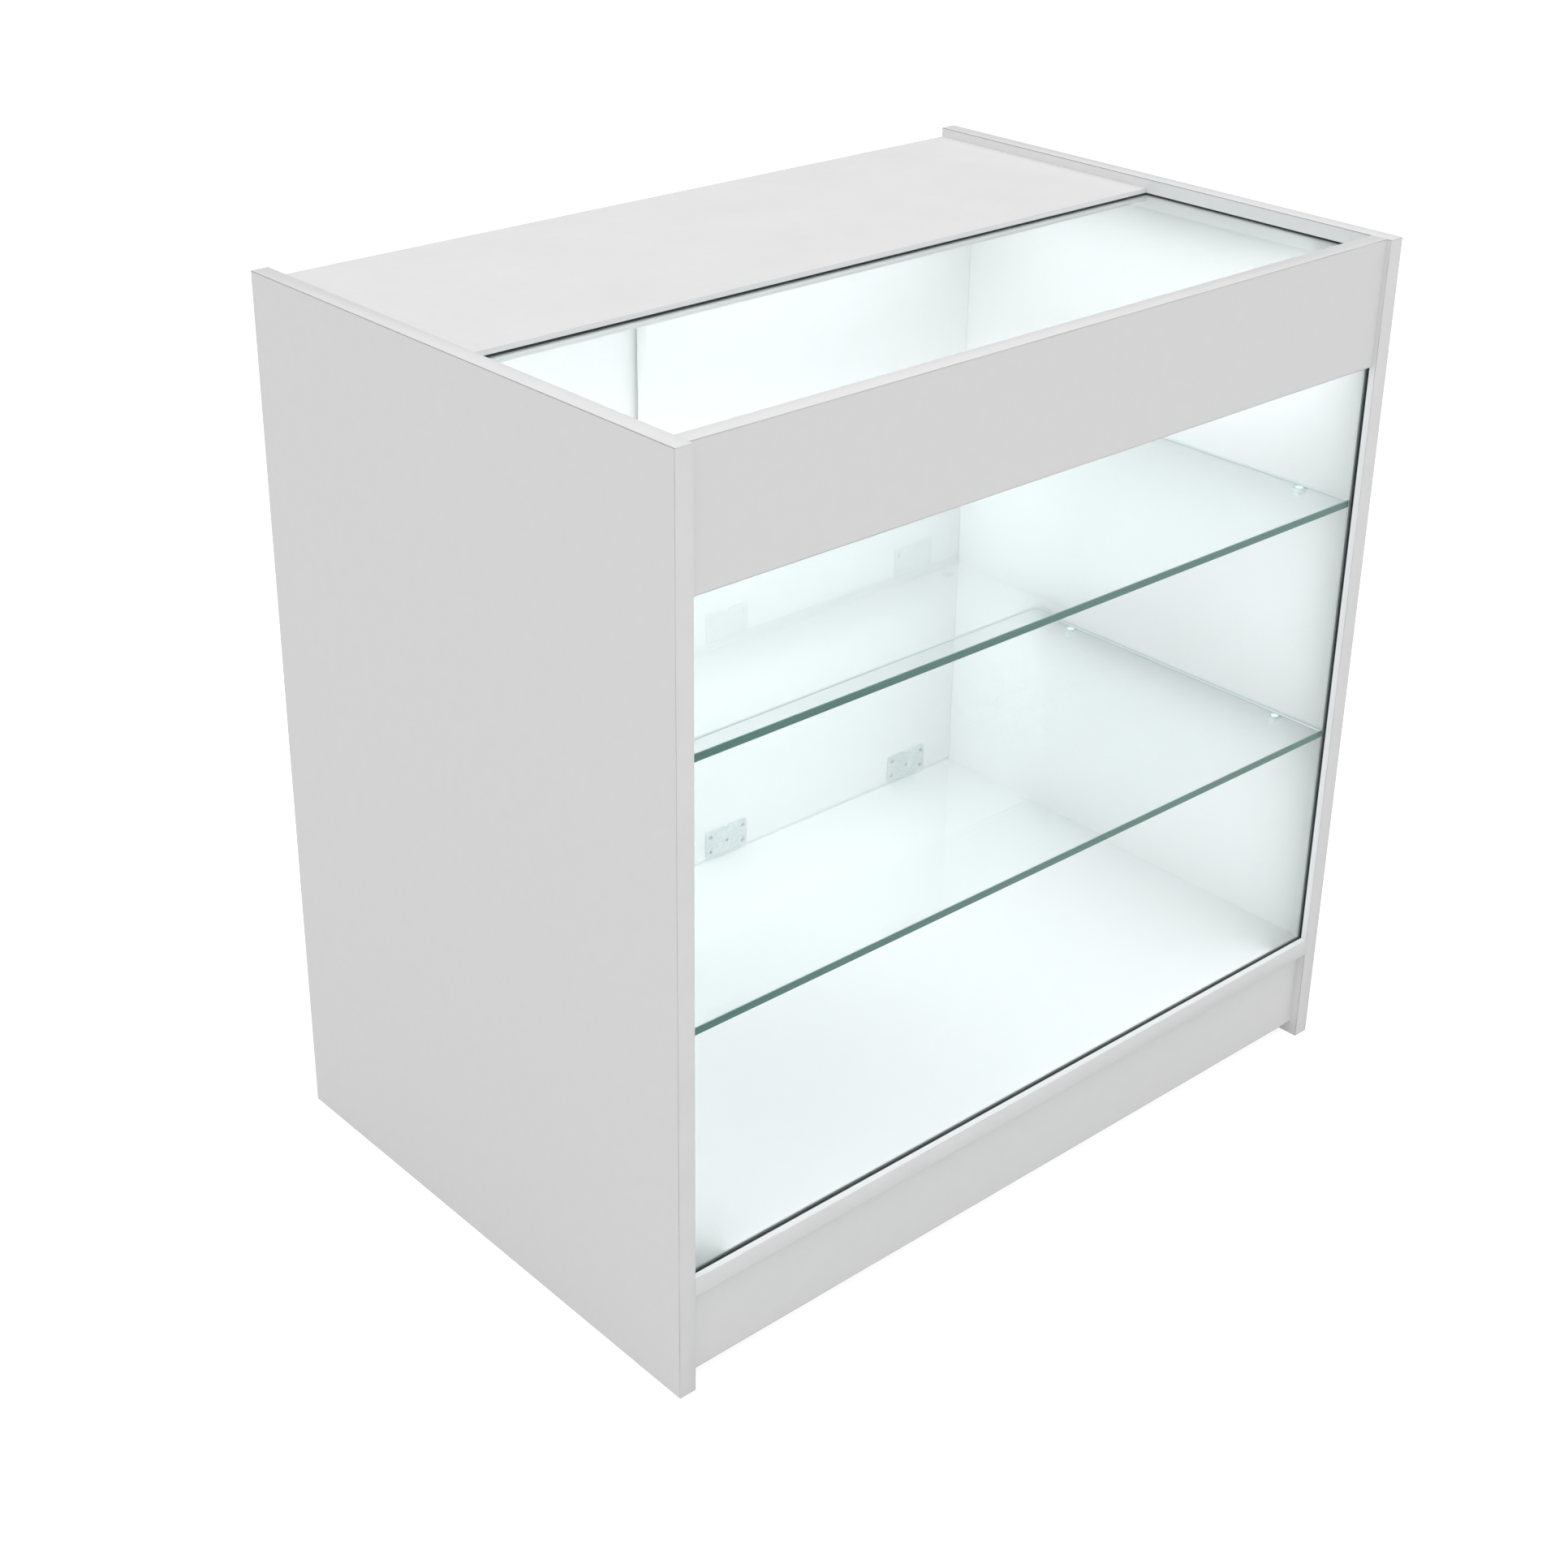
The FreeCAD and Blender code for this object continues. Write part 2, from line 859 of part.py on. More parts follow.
def door_panel(side, face_y):
    panel = box(
        (side * (door_meeting_x + door_band), side * (door_closing_x - door_band)),
        (face_y, face_y + door_board),
        (door_foot + door_band, door_head - door_band),
    )
    place = pull_place(side, face_y)
    hole_depth = pull_depth + pull_hole_clearance
    pull_hole = rod(
        pull_radius + pull_hole_clearance,
        place + Y_AXIS * overrun,
        place - Y_AXIS * hole_depth,
    )
    return panel.cut(door_pockets(side, face_y) + plate_screw_holes(side, face_y) + [pull_hole])


def door_edge_band(side, face_y):
    """One strip round all four edges, notched where the fittings pass."""
    y = (face_y, face_y + door_board)
    outer = box((side * door_meeting_x, side * door_closing_x), y, (door_foot, door_head))
    inner = box(
        (side * (door_meeting_x + door_band), side * (door_closing_x - door_band)),
        (face_y - overrun, face_y + door_board + overrun),
        (door_foot + door_band, door_head - door_band),
    )
    return outer.cut([inner] + door_pockets(side, face_y))


def fitting_plate(x, face_y, z, notch_z):
    """A rounded plate on the door's face with a small notch in its inward edge."""
    plate = box(
        (x - plate_width / 2, x + plate_width / 2),
        (face_y - plate_thickness, face_y),
        z,
    )
    corners = [edge for edge in plate.Edges if abs(edge.tangentAt(0).y) > 0]
    plate = plate.makeFillet(plate_corner, corners)
    notch = rod(
        plate_notch_radius,
        (x, face_y - plate_thickness - overrun, notch_z),
        (x, face_y + overrun, notch_z),
    )
    return plate.cut(notch)


def adjuster_place(x, face_y):
    """Where the height screw stands in the face of a roller plate."""
    middle_z = plate_foot + plate_height / 2
    return FreeCAD.Vector(x, face_y - plate_thickness, middle_z - adjuster_drop)


def roller_slot(x, face_y):
    """The space in a housing that its roller turns in, open at the foot."""
    middle = face_y + door_board / 2
    half = roller_width / 2 + roller_slot_clearance
    reach = roller_flange_radius + roller_slot_clearance
    slot_y = (middle - half, middle + half)
    upper = rod(reach, (x, slot_y[0], roller_axis_z), (x, slot_y[1], roller_axis_z))
    lower = box((x - reach, x + reach), slot_y, (door_foot - overrun, roller_axis_z))
    return joined([upper, lower])


def axle_ends(face_y):
    return (face_y + axle_front_wall, face_y + housing_depth)


def roller_housings(side, face_y):
    housings = []
    z = (plate_foot, plate_foot + plate_height)
    ends = axle_ends(face_y)
    for x in plate_places(side):
        block = housing_box(x, face_y, (plate_foot, plate_foot + housing_height), 0)
        axle_hole = rod(
            axle_radius,
            (x, ends[0], roller_axis_z),
            (x, ends[1] + overrun, roller_axis_z),
        )
        seat = adjuster_place(x, face_y)
        adjuster_hole = rod(adjuster_radius, seat - Y_AXIS * overrun, seat + Y_AXIS * adjuster_depth)
        body = joined([fitting_plate(x, face_y, z, z[1]), block])
        cuts = [roller_slot(x, face_y), axle_hole, adjuster_hole]
        housings.append(body.cut(cuts + plate_screw_holes(side, face_y)))
    return group(housings)


def roller_axles(side, face_y):
    ends = axle_ends(face_y)
    return group([
        rod(axle_radius, (x, ends[0], roller_axis_z), (x, ends[1], roller_axis_z))
        for x in plate_places(side)
    ])


def door_roller(x, face_y):
    """A wheel with a groove that straddles the rail."""
    middle = FreeCAD.Vector(x, face_y + door_board / 2, roller_axis_z)
    bore = axle_radius + axle_running_clearance
    half = roller_width / 2
    root = rail_width / 2 + roller_groove_clearance
    mouth = root + (roller_flange_radius - roller_tread_radius) * roller_flange_slope
    outline = [
        (bore, -half),
        (roller_flange_radius, -half),
        (roller_flange_radius, -mouth),
        (roller_tread_radius, -root),
        (roller_tread_radius, root),
        (roller_flange_radius, mouth),
        (roller_flange_radius, half),
        (bore, half),
    ]
    points = [middle + Z_AXIS * radius + Y_AXIS * y for radius, y in outline]
    return turned(points, middle, Y_AXIS)


def top_guides(side, face_y):
    """Plates with a block in the door and a tongue that runs in the top channel."""
    guides = []
    z = (plate_head - plate_height, plate_head)
    middle = face_y + door_board / 2
    half = guide_channel / 2 - guide_side_clearance
    for x in plate_places(side):
        block = housing_box(x, face_y, (plate_head - housing_height, plate_head), 0)
        tongue = box(
            (x - guide_width / 2, x + guide_width / 2),
            (middle - half, middle + half),
            (plate_head - housing_height / 2, top_track_foot + guide_entry),
        )
        body = joined([fitting_plate(x, face_y, z, z[0]), block, tongue])
        guides.append(body.cut(plate_screw_holes(side, face_y)))
    return group(guides)


def door_screws(side, face_y):
    """The plates' corner screws and the height screws of the rollers."""
    seat_y = face_y - plate_thickness
    screws = [
        countersunk_screw(FreeCAD.Vector(x, seat_y, z), -Y_AXIS, screw_length)
        for x, z in plate_screw_places(side)
    ]
    for x in plate_places(side):
        seat = adjuster_place(x, face_y)
        adjuster = rod(adjuster_radius, seat, seat + Y_AXIS * adjuster_depth)
        screws.append(adjuster.cut(driver_slots(seat, -Y_AXIS)))
    return group(screws)


def finger_pull(side, face_y):
    """A shallow round cup with a thin flange on the door's outer face."""
    place = pull_place(side, face_y)
    flange_face = place + Y_AXIS * pull_flange_thickness
    flange = rod(pull_flange_radius, place, flange_face)
    cup = rod(pull_radius, place, place - Y_AXIS * pull_depth)
    hollow_end = place - Y_AXIS * (pull_depth - pull_wall)
    hollow = rod(pull_radius - pull_wall, flange_face + Y_AXIS * overrun, hollow_end)
    return joined([flange, cup]).cut(hollow)


# Light bar

def light_channel():
    """An aluminium channel, open downwards."""
    outer = box(both_ways(light_half), (channel_y, channel_back), (channel_foot, channel_top))
    hollow = box(
        both_ways(light_half + overrun),
        (channel_y + channel_wall, channel_back - channel_wall),
        (channel_foot - overrun, channel_top - channel_wall),
    )
    return outer.cut(hollow)


def light_board():
    """A circuit strip under the channel's roof with a row of light chips."""
    top = channel_top - channel_wall
    foot = top - light_board_thickness
    parts = [box(
        both_ways(light_half),
        (lead_y - light_board_width / 2, lead_y + light_board_width / 2),
        (foot, top),
    )]
    count = int((light_half * 2 - chip_pitch) / chip_pitch)
    reach = chip_pitch * (count - 1) / 2
    for x in spread(-reach, reach, count):
        parts.append(box(
            (x - chip_length / 2, x + chip_length / 2),
            (lead_y - chip_width / 2, lead_y + chip_width / 2),
            (foot - chip_height, foot),
        ))
    return joined(parts)


def light_diffuser():
    return box(
        both_ways(light_half),
        (channel_y + channel_wall, channel_back - channel_wall),
        (channel_foot, channel_foot + diffuser_thickness),
    )


def light_end_caps():
    y = (channel_y, channel_back)
    z = (channel_foot, channel_top)
    return group([
        box((side * light_half, side * (light_half + end_cap_thickness)), y, z)
        for side in (LEFT, RIGHT)
    ])


def clip_places():
    return spread(-clip_spread, clip_spread, clip_count)


def clip_seat(x):
    """Where a clip's screw head stands."""
    return FreeCAD.Vector(x, apron_back + clip_thickness, channel_top + clip_screw_rise)


def clip_screw_holes():
    return [pan_hole(clip_seat(x), Y_AXIS, clip_screw_length) for x in clip_places()]


def light_clips():
    """Bent strips: a back on the apron, a hook over the channel and a toe under it."""
    clips = []
    holes = clip_screw_holes()
    for x in clip_places():
        width = (x - clip_width / 2, x + clip_width / 2)
        foot = channel_foot - clip_thickness
        back = box(width, (apron_back, channel_y), (foot, channel_top + clip_rise))
        hook = box(
            width,
            (apron_back, channel_y + clip_hook),
            (channel_top, channel_top + clip_thickness),
        )
        toe = box(width, (apron_back, channel_y + clip_toe), (foot, channel_foot))
        clips.append(joined([back, hook, toe]).cut(holes))
    return group(clips)


def light_clip_screws():
    return group([pan_screw(clip_seat(x), Y_AXIS, clip_screw_length) for x in clip_places()])


# Lead and inlet

def inlet_tail_y():
    return rear_kick_face - board - inlet_nut_thickness - inlet_tail_length


def lead_route():
    """The lead's corners from the light bar to the inlet, with the turn at each."""
    return [
        ((-light_half - end_cap_thickness, lead_y, lead_start_z), None),
        ((lead_x, lead_y, lead_start_z), lead_entry_turn),
        ((lead_x, lead_y, lead_level), lead_corner_turn),
        ((lead_x, lead_exit_y, lead_level), lead_exit_turn),
        ((inlet_x, lead_join_y, lead_level), lead_join_turn),
        ((inlet_x, inlet_tail_y(), lead_level), None),
    ]


def rounded_path(route):
    """Straight runs joined by arcs that touch both runs."""
    points = [FreeCAD.Vector(*point) for point, _ in route]
    edges = []
    start = points[0]
    for index in range(1, len(route) - 1):
        corner = points[index]
        back = (points[index - 1] - corner).normalize()
        on = (points[index + 1] - corner).normalize()
        half_angle = back.getAngle(on) / 2
        radius = route[index][1]
        reach = radius / math.tan(half_angle)
        bisector = (back + on).normalize()
        middle = corner + bisector * (radius / math.sin(half_angle) - radius)
        enter = corner + back * reach
        leave = corner + on * reach
        edges.append(Part.LineSegment(start, enter).toShape())
        edges.append(Part.Arc(enter, middle, leave).toShape())
        start = leave
    edges.append(Part.LineSegment(start, points[-1]).toShape())
    return Part.Wire(edges)


def light_lead():
    path = rounded_path(lead_route())
    first = path.Edges[0]
    start = first.valueAt(first.FirstParameter)
    section = Part.Wire(Part.makeCircle(lead_radius, start, first.tangentAt(first.FirstParameter)))
    lead = path.makePipeShell([section], True, False)
    share = lead.Volume / (math.pi * lead_radius ** 2 * path.Length)
    print("lead length %.1f mm, volume share %.4f" % (path.Length, share))
    print("lead turns", [turn for _, turn in lead_route() if turn])
    return lead


def lead_grooves():
    """A routed groove down the left side and back under the deck, with a round corner."""
    half = lead_groove_width / 2
    x = (-inner_half - lead_groove_depth, -inner_half + overrun)
    corner_y = lead_y + lead_corner_turn
    corner_z = lead_level + lead_corner_turn
    upright = box(x, (lead_y - half, lead_y + half), (corner_z, lead_start_z + half))
    level = box(x, (corner_y, lead_exit_y + half), (lead_level - half, lead_level + half))
    centre = FreeCAD.Vector(x[0], corner_y, corner_z)
    depth = x[1] - x[0]
    outer = Part.makeCylinder(lead_corner_turn + half, depth, centre, X_AXIS)
    inner = Part.makeCylinder(lead_corner_turn - half, depth, centre, X_AXIS)
    reach = lead_corner_turn + half
    quarter = box(x, (corner_y - reach, corner_y), (corner_z - reach, corner_z))
    return [upright, level, outer.cut(inner).common(quarter)]


def lead_saddles():
    """Thin plates that hold the lead in its groove."""
    wall = (-inner_half, -inner_half + saddle_thickness)
    over = saddle_length / 2
    along = saddle_width / 2
    upright = [
        box(wall, (lead_y - over, lead_y + over), (z - along, z + along))
        for z in [share * overall_height for share in saddle_height_shares]
    ]
    level = [
        box(wall, (y - along, y + along), (lead_level - over, lead_level + over))
        for y in [lead_y + share * (lead_exit_y - lead_y) for share in saddle_run_shares]
    ]
    return group(upright + level)


def power_inlet():
    """A round socket in the rear kick board, with its opening to the outside."""
    rear_face = (inlet_x, rear_kick_face, lead_level)
    flange_face = (inlet_x, rear_kick_face + inlet_flange_thickness, lead_level)
    nut_face_y = rear_kick_face - board - inlet_nut_thickness
    flange = rod(inlet_flange_radius, rear_face, flange_face)
    barrel = rod(inlet_barrel_radius, rear_face, (inlet_x, nut_face_y, lead_level))
    tail = rod(
        inlet_tail_radius,
        (inlet_x, nut_face_y, lead_level),
        (inlet_x, inlet_tail_y(), lead_level),
    )
    mouth_y = rear_kick_face + inlet_flange_thickness
    bore = rod(
        inlet_bore_radius,
        (inlet_x, mouth_y + overrun, lead_level),
        (inlet_x, mouth_y - inlet_bore_depth, lead_level),
    )
    return joined([flange, barrel, tail]).cut(bore)


def inlet_nut():
    """A hexagon nut that draws the inlet against the board."""
    low_y = rear_kick_face - board - inlet_nut_thickness
    corner = inlet_nut_flats / 2 / math.cos(math.pi / HEXAGON)
    points = []
    for step in range(HEXAGON + 1):
        angle = 2 * math.pi * step / HEXAGON
        x = inlet_x + corner * math.cos(angle)
        points.append(FreeCAD.Vector(x, low_y, lead_level + corner * math.sin(angle)))
    nut = Part.Face(Part.makePolygon(points)).extrude(Y_AXIS * inlet_nut_thickness)
    hole = rod(
        inlet_barrel_radius + inlet_hole_clearance,
        (inlet_x, low_y - overrun, lead_level),
        (inlet_x, low_y + inlet_nut_thickness + overrun, lead_level),
    )
    return nut.cut(hole)


# Every piece by name

def carcase_nodes():
    return {
        "left_side_panel": side_panel(LEFT),
        "right_side_panel": side_panel(RIGHT),
        "left_side_edge_bands": side_edge_bands(LEFT),
        "right_side_edge_bands": side_edge_bands(RIGHT),
        "deck_panel": deck_panel(),
        "deck_edge_bands": deck_edge_bands(),
        "worktop_panel": worktop_panel(),
        "worktop_edge_bands": worktop_edge_bands(),
        "front_apron": front_apron(),
        "apron_edge_bands": apron_edge_bands(),
        "front_kick_board": front_kick_board(),
        "rear_kick_board": rear_kick_board(),
        "kick_edge_bands": kick_edge_bands(),
        "cam_locks": cam_locks(),
        "cam_bolts": cam_bolts(),
        "wood_dowels": wood_dowels(),
    }


def glazing_nodes():
    return {
        "front_glass": front_glass(),
        "front_glass_rubber": front_glass_rubber(),
        "top_glass": top_glass(),
        "top_glass_rubber": top_glass_rubber(),
        "upper_glass_shelf": glass_shelf(upper_shelf_level),
        "lower_glass_shelf": glass_shelf(lower_shelf_level),
        "upper_shelf_pegs": shelf_pegs(upper_shelf_level),
        "lower_shelf_pegs": shelf_pegs(lower_shelf_level),
        "upper_shelf_pads": shelf_pads(upper_shelf_level),
        "lower_shelf_pads": shelf_pads(lower_shelf_level),
    }


def track_nodes():
    return {
        "bottom_door_track": bottom_door_track(),
        "top_door_track": top_door_track(),
        "track_screws": track_screws(),
        "door_bumpers": door_bumpers(),
    }


def light_nodes():
    return {
        "light_channel": light_channel(),
        "light_board": light_board(),
        "light_diffuser": light_diffuser(),
        "light_end_caps": light_end_caps(),
        "light_clips": light_clips(),
        "light_clip_screws": light_clip_screws(),
        "light_lead": light_lead(),
        "lead_saddles": lead_saddles(),
        "power_inlet": power_inlet(),
        "inlet_nut": inlet_nut(),
    }


def door_nodes(name, side, face_y):
    meeting_x, closing_x = plate_places(side)
    return {
        name + "_panel": door_panel(side, face_y),
        name + "_edge_band": door_edge_band(side, face_y),
        name + "_roller_housings": roller_housings(side, face_y),
        name + "_roller_axles": roller_axles(side, face_y),
        name + "_top_guides": top_guides(side, face_y),
        name + "_screws": door_screws(side, face_y),
        name + "_finger_pull": finger_pull(side, face_y),
        name + "_meeting_roller": door_roller(meeting_x, face_y),
        name + "_closing_roller": door_roller(closing_x, face_y),
    }


def main():
    nodes = {}
    nodes.update(carcase_nodes())
    nodes.update(glazing_nodes())
    nodes.update(track_nodes())
    nodes.update(light_nodes())
    nodes.update(door_nodes("right_door", RIGHT, inner_door_y))
    nodes.update(door_nodes("left_door", LEFT, outer_door_y))
    os.makedirs("parts", exist_ok=True)
    for name, shape in nodes.items():
        shape.exportStep("parts/%s.step" % name)
        print("%s: %d solids, %.0f mm3" % (name, len(shape.Solids), shape.Volume))


main()
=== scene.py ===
# %% [markdown]
# # A glass display counter
#
# A shop counter of white board with a glass front, a half glass top, two glass
# shelves and two sliding doors at the back. Its exact pieces come in as a frame
# of named nodes. This lesson gives each piece the finish of the real one,
# remakes the pieces whose edges catch the light, and sets up a pale studio.

import math

import bmesh
import bpy
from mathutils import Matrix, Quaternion, Vector


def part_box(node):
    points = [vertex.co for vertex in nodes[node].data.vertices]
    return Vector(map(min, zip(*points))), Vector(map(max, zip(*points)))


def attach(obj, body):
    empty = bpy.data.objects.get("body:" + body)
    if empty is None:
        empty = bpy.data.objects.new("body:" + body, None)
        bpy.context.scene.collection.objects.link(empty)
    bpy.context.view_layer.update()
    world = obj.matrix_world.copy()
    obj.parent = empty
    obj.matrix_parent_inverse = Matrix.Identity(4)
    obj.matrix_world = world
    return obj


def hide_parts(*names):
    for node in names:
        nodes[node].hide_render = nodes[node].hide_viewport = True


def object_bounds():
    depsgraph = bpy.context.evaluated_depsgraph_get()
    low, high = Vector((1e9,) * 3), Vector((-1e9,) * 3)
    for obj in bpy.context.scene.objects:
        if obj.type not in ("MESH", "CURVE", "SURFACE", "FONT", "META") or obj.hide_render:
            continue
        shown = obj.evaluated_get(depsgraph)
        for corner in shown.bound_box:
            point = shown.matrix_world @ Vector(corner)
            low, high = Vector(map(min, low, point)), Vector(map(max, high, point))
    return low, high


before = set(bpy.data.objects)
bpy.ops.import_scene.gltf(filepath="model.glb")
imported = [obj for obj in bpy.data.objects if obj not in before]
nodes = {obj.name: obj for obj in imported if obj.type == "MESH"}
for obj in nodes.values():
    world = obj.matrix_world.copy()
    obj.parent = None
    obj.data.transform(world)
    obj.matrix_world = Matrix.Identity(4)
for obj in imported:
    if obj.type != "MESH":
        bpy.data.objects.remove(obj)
frame_low, frame_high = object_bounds()
MM = 0.001
print("nodes:", len(nodes), "box:", [round(side, 3) for side in frame_high - frame_low])

# %% [markdown]
# ## The camera
#
# The picture was taken from the left of the glass front, a little above the top.
# A camera could be aimed by hand until the corners agree. Four known corners of
# the counter give the eye, the line of sight and the lens in one go, so they
# are written down here. The small roll and shift remain because the picture
# isn't quite level and the counter isn't quite in its middle.

# %% Place the camera
EYE = Vector((-1.5300, -1.6141, 1.5298))
SIGHT = Vector((0.59773, 0.67970, -0.42512))
ROLL = math.radians(0.474)
SENSOR_MM = 36.0
LENS_MM = 56.43
SHIFT = (0.02148, -0.08137)

lens = bpy.data.cameras.new("counter_camera")
lens.sensor_width = SENSOR_MM
lens.lens = LENS_MM
lens.shift_x, lens.shift_y = SHIFT
camera = bpy.data.objects.new("counter_camera", lens)
bpy.context.scene.collection.objects.link(camera)
camera.location = EYE
camera.rotation_mode = "QUATERNION"
camera.rotation_quaternion = SIGHT.to_track_quat("-Z", "Y") @ Quaternion((0, 0, 1), ROLL)
bpy.context.scene.camera = camera
print("camera", round(EYE.length, 2), "m from the counter's foot")

# %% [markdown]
# ## Studio light
#
# White board shows its form only by small steps of grey, so the light matters
# more than the colour. Lamps on stands would put hard shadows and bright
# squares on it. A sky that grows brighter from the horizon upwards does what a
# large soft box does: the tops come out pale and the upright faces a step
# darker. What lies in front of a glass pane shows in it as a veil, so mirror
# rays meet a dimmer sky and floor than all other rays do.

# %% Helpers for the numbers in a finish
HALF_A_BOUNCE = 0.5


def feed(tree, socket, value):
    """Set a socket to a number, or link another socket to it."""
    if isinstance(value, (int, float)):
        socket.default_value = value
    else:
        tree.links.new(value, socket)


def maths(tree, operation, first, second):
    """Two sockets or numbers combined into one."""
    step = tree.nodes.new("ShaderNodeMath")
    step.operation = operation
    feed(tree, step.inputs[0], first)
    feed(tree, step.inputs[1], second)
    return step.outputs["Value"]


def between(tree, share, at_nought, at_one):
    """A number that runs from one value to another with a share."""
    reach = tree.nodes.new("ShaderNodeMapRange")
    tree.links.new(share, reach.inputs["Value"])
    feed(tree, reach.inputs["To Min"], at_nought)
    feed(tree, reach.inputs["To Max"], at_one)
    return reach.outputs["Result"]


def seen_in_mirror(tree):
    """One for a ray that reached the eye only by mirroring, nought for all others."""
    rays = tree.nodes.new("ShaderNodeLightPath")
    glossy = rays.outputs["Is Glossy Ray"]
    mirrored = maths(tree, "MULTIPLY", glossy, rays.outputs["Is Reflection Ray"])
    unscattered = maths(tree, "LESS_THAN", rays.outputs["Diffuse Depth"], HALF_A_BOUNCE)
    return maths(tree, "MULTIPLY", mirrored, unscattered)


print("helpers ready: feed, maths, between, seen_in_mirror")

# %% Hang the sky
SKY_LOW = 0.55
SKY_HIGH = 1.36
MIRRORED_SKY_SHARE = 0.45

world = bpy.data.worlds.new("studio_sky")
bpy.context.scene.world = world
world.use_nodes = True
sky = world.node_tree
sky.nodes.clear()
direction = sky.nodes.new("ShaderNodeTexCoord")
split = sky.nodes.new("ShaderNodeSeparateXYZ")
sky.links.new(direction.outputs["Generated"], split.inputs["Vector"])
climb = between(sky, split.outputs["Z"], SKY_LOW, SKY_HIGH)
dimmed = between(sky, seen_in_mirror(sky), 1.0, MIRRORED_SKY_SHARE)
dome = sky.nodes.new("ShaderNodeBackground")
dome.inputs["Color"].default_value = (1, 1, 1, 1)
out = sky.nodes.new("ShaderNodeOutputWorld")
sky.links.new(maths(sky, "MULTIPLY", climb, dimmed), dome.inputs["Strength"])
sky.links.new(dome.outputs["Background"], out.inputs["Surface"])
bpy.context.scene.view_settings.view_transform = "Standard"
print("sky from", SKY_LOW, "at the horizon to", SKY_HIGH, "overhead")

# %% [markdown]
# ## The floor
#
# The counter stands on plain white paper. White paint alone turns grey under a
# counter, and a floor that glows enough to stay white throws too much light
# onto the boards. So the floor glows by itself, more for the eye than for the
# counter, and not at all for mirror rays. It lies a hair below the feet and is
# clear from beneath, so that the counter can be looked at from below too.

# %% Lay the pale floor
FLOOR_SIDE = 60.0
FLOOR_ROOM = 0.1 * MM

floor_shape = bmesh.new()
bmesh.ops.create_grid(floor_shape, x_segments=1, y_segments=1, size=FLOOR_SIDE / 2)
bmesh.ops.translate(floor_shape, vec=(0, 0, -FLOOR_ROOM), verts=floor_shape.verts)
floor_mesh = bpy.data.meshes.new("studio_floor")
floor_shape.to_mesh(floor_mesh)
floor_shape.free()
floor = bpy.data.objects.new("studio_floor", floor_mesh)
bpy.context.scene.collection.objects.link(floor)
print("floor laid,", FLOOR_SIDE, "m square")

# %% Give the floor its glow
FLOOR_PAINT = 0.50
FLOOR_GLOW_SEEN = 0.74
FLOOR_GLOW_CAST = 0.24
FLOOR_GLOW_MIRRORED = 0.0

floor_finish = bpy.data.materials.new("studio_floor")
floor_finish.use_nodes = True
floor_tree = floor_finish.node_tree
floor_shader = floor_tree.nodes["Principled BSDF"]
floor_shader.inputs["Base Color"].default_value = (FLOOR_PAINT, FLOOR_PAINT, FLOOR_PAINT, 1)
floor_shader.inputs["Roughness"].default_value = 1.0
floor_shader.inputs["Specular IOR Level"].default_value = 0.0
floor_shader.inputs["Emission Color"].default_value = (1, 1, 1, 1)
floor_rays = floor_tree.nodes.new("ShaderNodeLightPath")
floor_glow = between(
    floor_tree, floor_rays.outputs["Is Camera Ray"], FLOOR_GLOW_CAST, FLOOR_GLOW_SEEN)
floor_glow = between(floor_tree, seen_in_mirror(floor_tree), floor_glow, FLOOR_GLOW_MIRRORED)
floor_tree.links.new(floor_glow, floor_shader.inputs["Emission Strength"])
floor_side = floor_tree.nodes.new("ShaderNodeNewGeometry")
clear_side = floor_tree.nodes.new("ShaderNodeBsdfTransparent")
floor_mix = floor_tree.nodes.new("ShaderNodeMixShader")
floor_tree.links.new(floor_side.outputs["Backfacing"], floor_mix.inputs["Fac"])
floor_tree.links.new(floor_shader.outputs["BSDF"], floor_mix.inputs[1])
floor_tree.links.new(clear_side.outputs["BSDF"], floor_mix.inputs[2])
floor_out = floor_tree.nodes["Material Output"]
floor_tree.links.new(floor_mix.outputs["Shader"], floor_out.inputs["Surface"])
floor_mesh.materials.append(floor_finish)
print("floor glow", FLOOR_GLOW_SEEN, "for the eye and", FLOOR_GLOW_CAST, "for the counter")

# %% [markdown]
# ## Light inside the bays
#
# On the real counter a light bar behind the apron lights all three bays, and
# its light falls through the glass shelves. A renderer can't aim at a lamp
# through clear glass, so the result would be grainy. Instead a soft lamp hangs
# where the bar is, and each bay gets lamps for the light that falls through its
# ceiling, for what its front throws back and for what comes back from its left
# side. Ceiling and front have a lamp for each half, so that the ends can be
# evened out. Two more, on the outside of the panes, stand for what comes out
# through the glass and lights the narrow recesses round it. All are hidden from
# the camera and from mirror rays.

# %% Values of the lamps
BAY_LIGHT_COLOUR = (0.925, 0.98, 1.0)
BAR_WATTS = 0.41
# each pair holds the watts of the left and of the right half of a bay
FALL_WATTS = {"upper": (0.75, 1.42), "middle": (0.0, 0.31), "lower": (0.25, 0.63)}
FILL_WATTS = {"upper": (0.72, 0.21), "middle": (0.10, 0.45), "lower": (0.35, 0.37)}
SIDE_WATTS = {"upper": 0.31, "middle": 2.3, "lower": 0.31}
HALVES = (("left", -1), ("right", 1))
LAMP_ROOM = 2 * MM
WALL_ROOM = 45 * MM
BAR_SPREAD = 60 * MM
# a lamp shines down until it is turned about X and Y by these degrees
BAR_TILT = (55.0, 0.0)
FACE_DOWN = (0.0, 0.0)
FACE_DOORS = (90.0, 0.0)
FACE_FRONT = (-90.0, 0.0)
FACE_UP = (180.0, 0.0)
FACE_RIGHT = (0.0, -90.0)
print("bays to light:", list(FALL_WATTS))

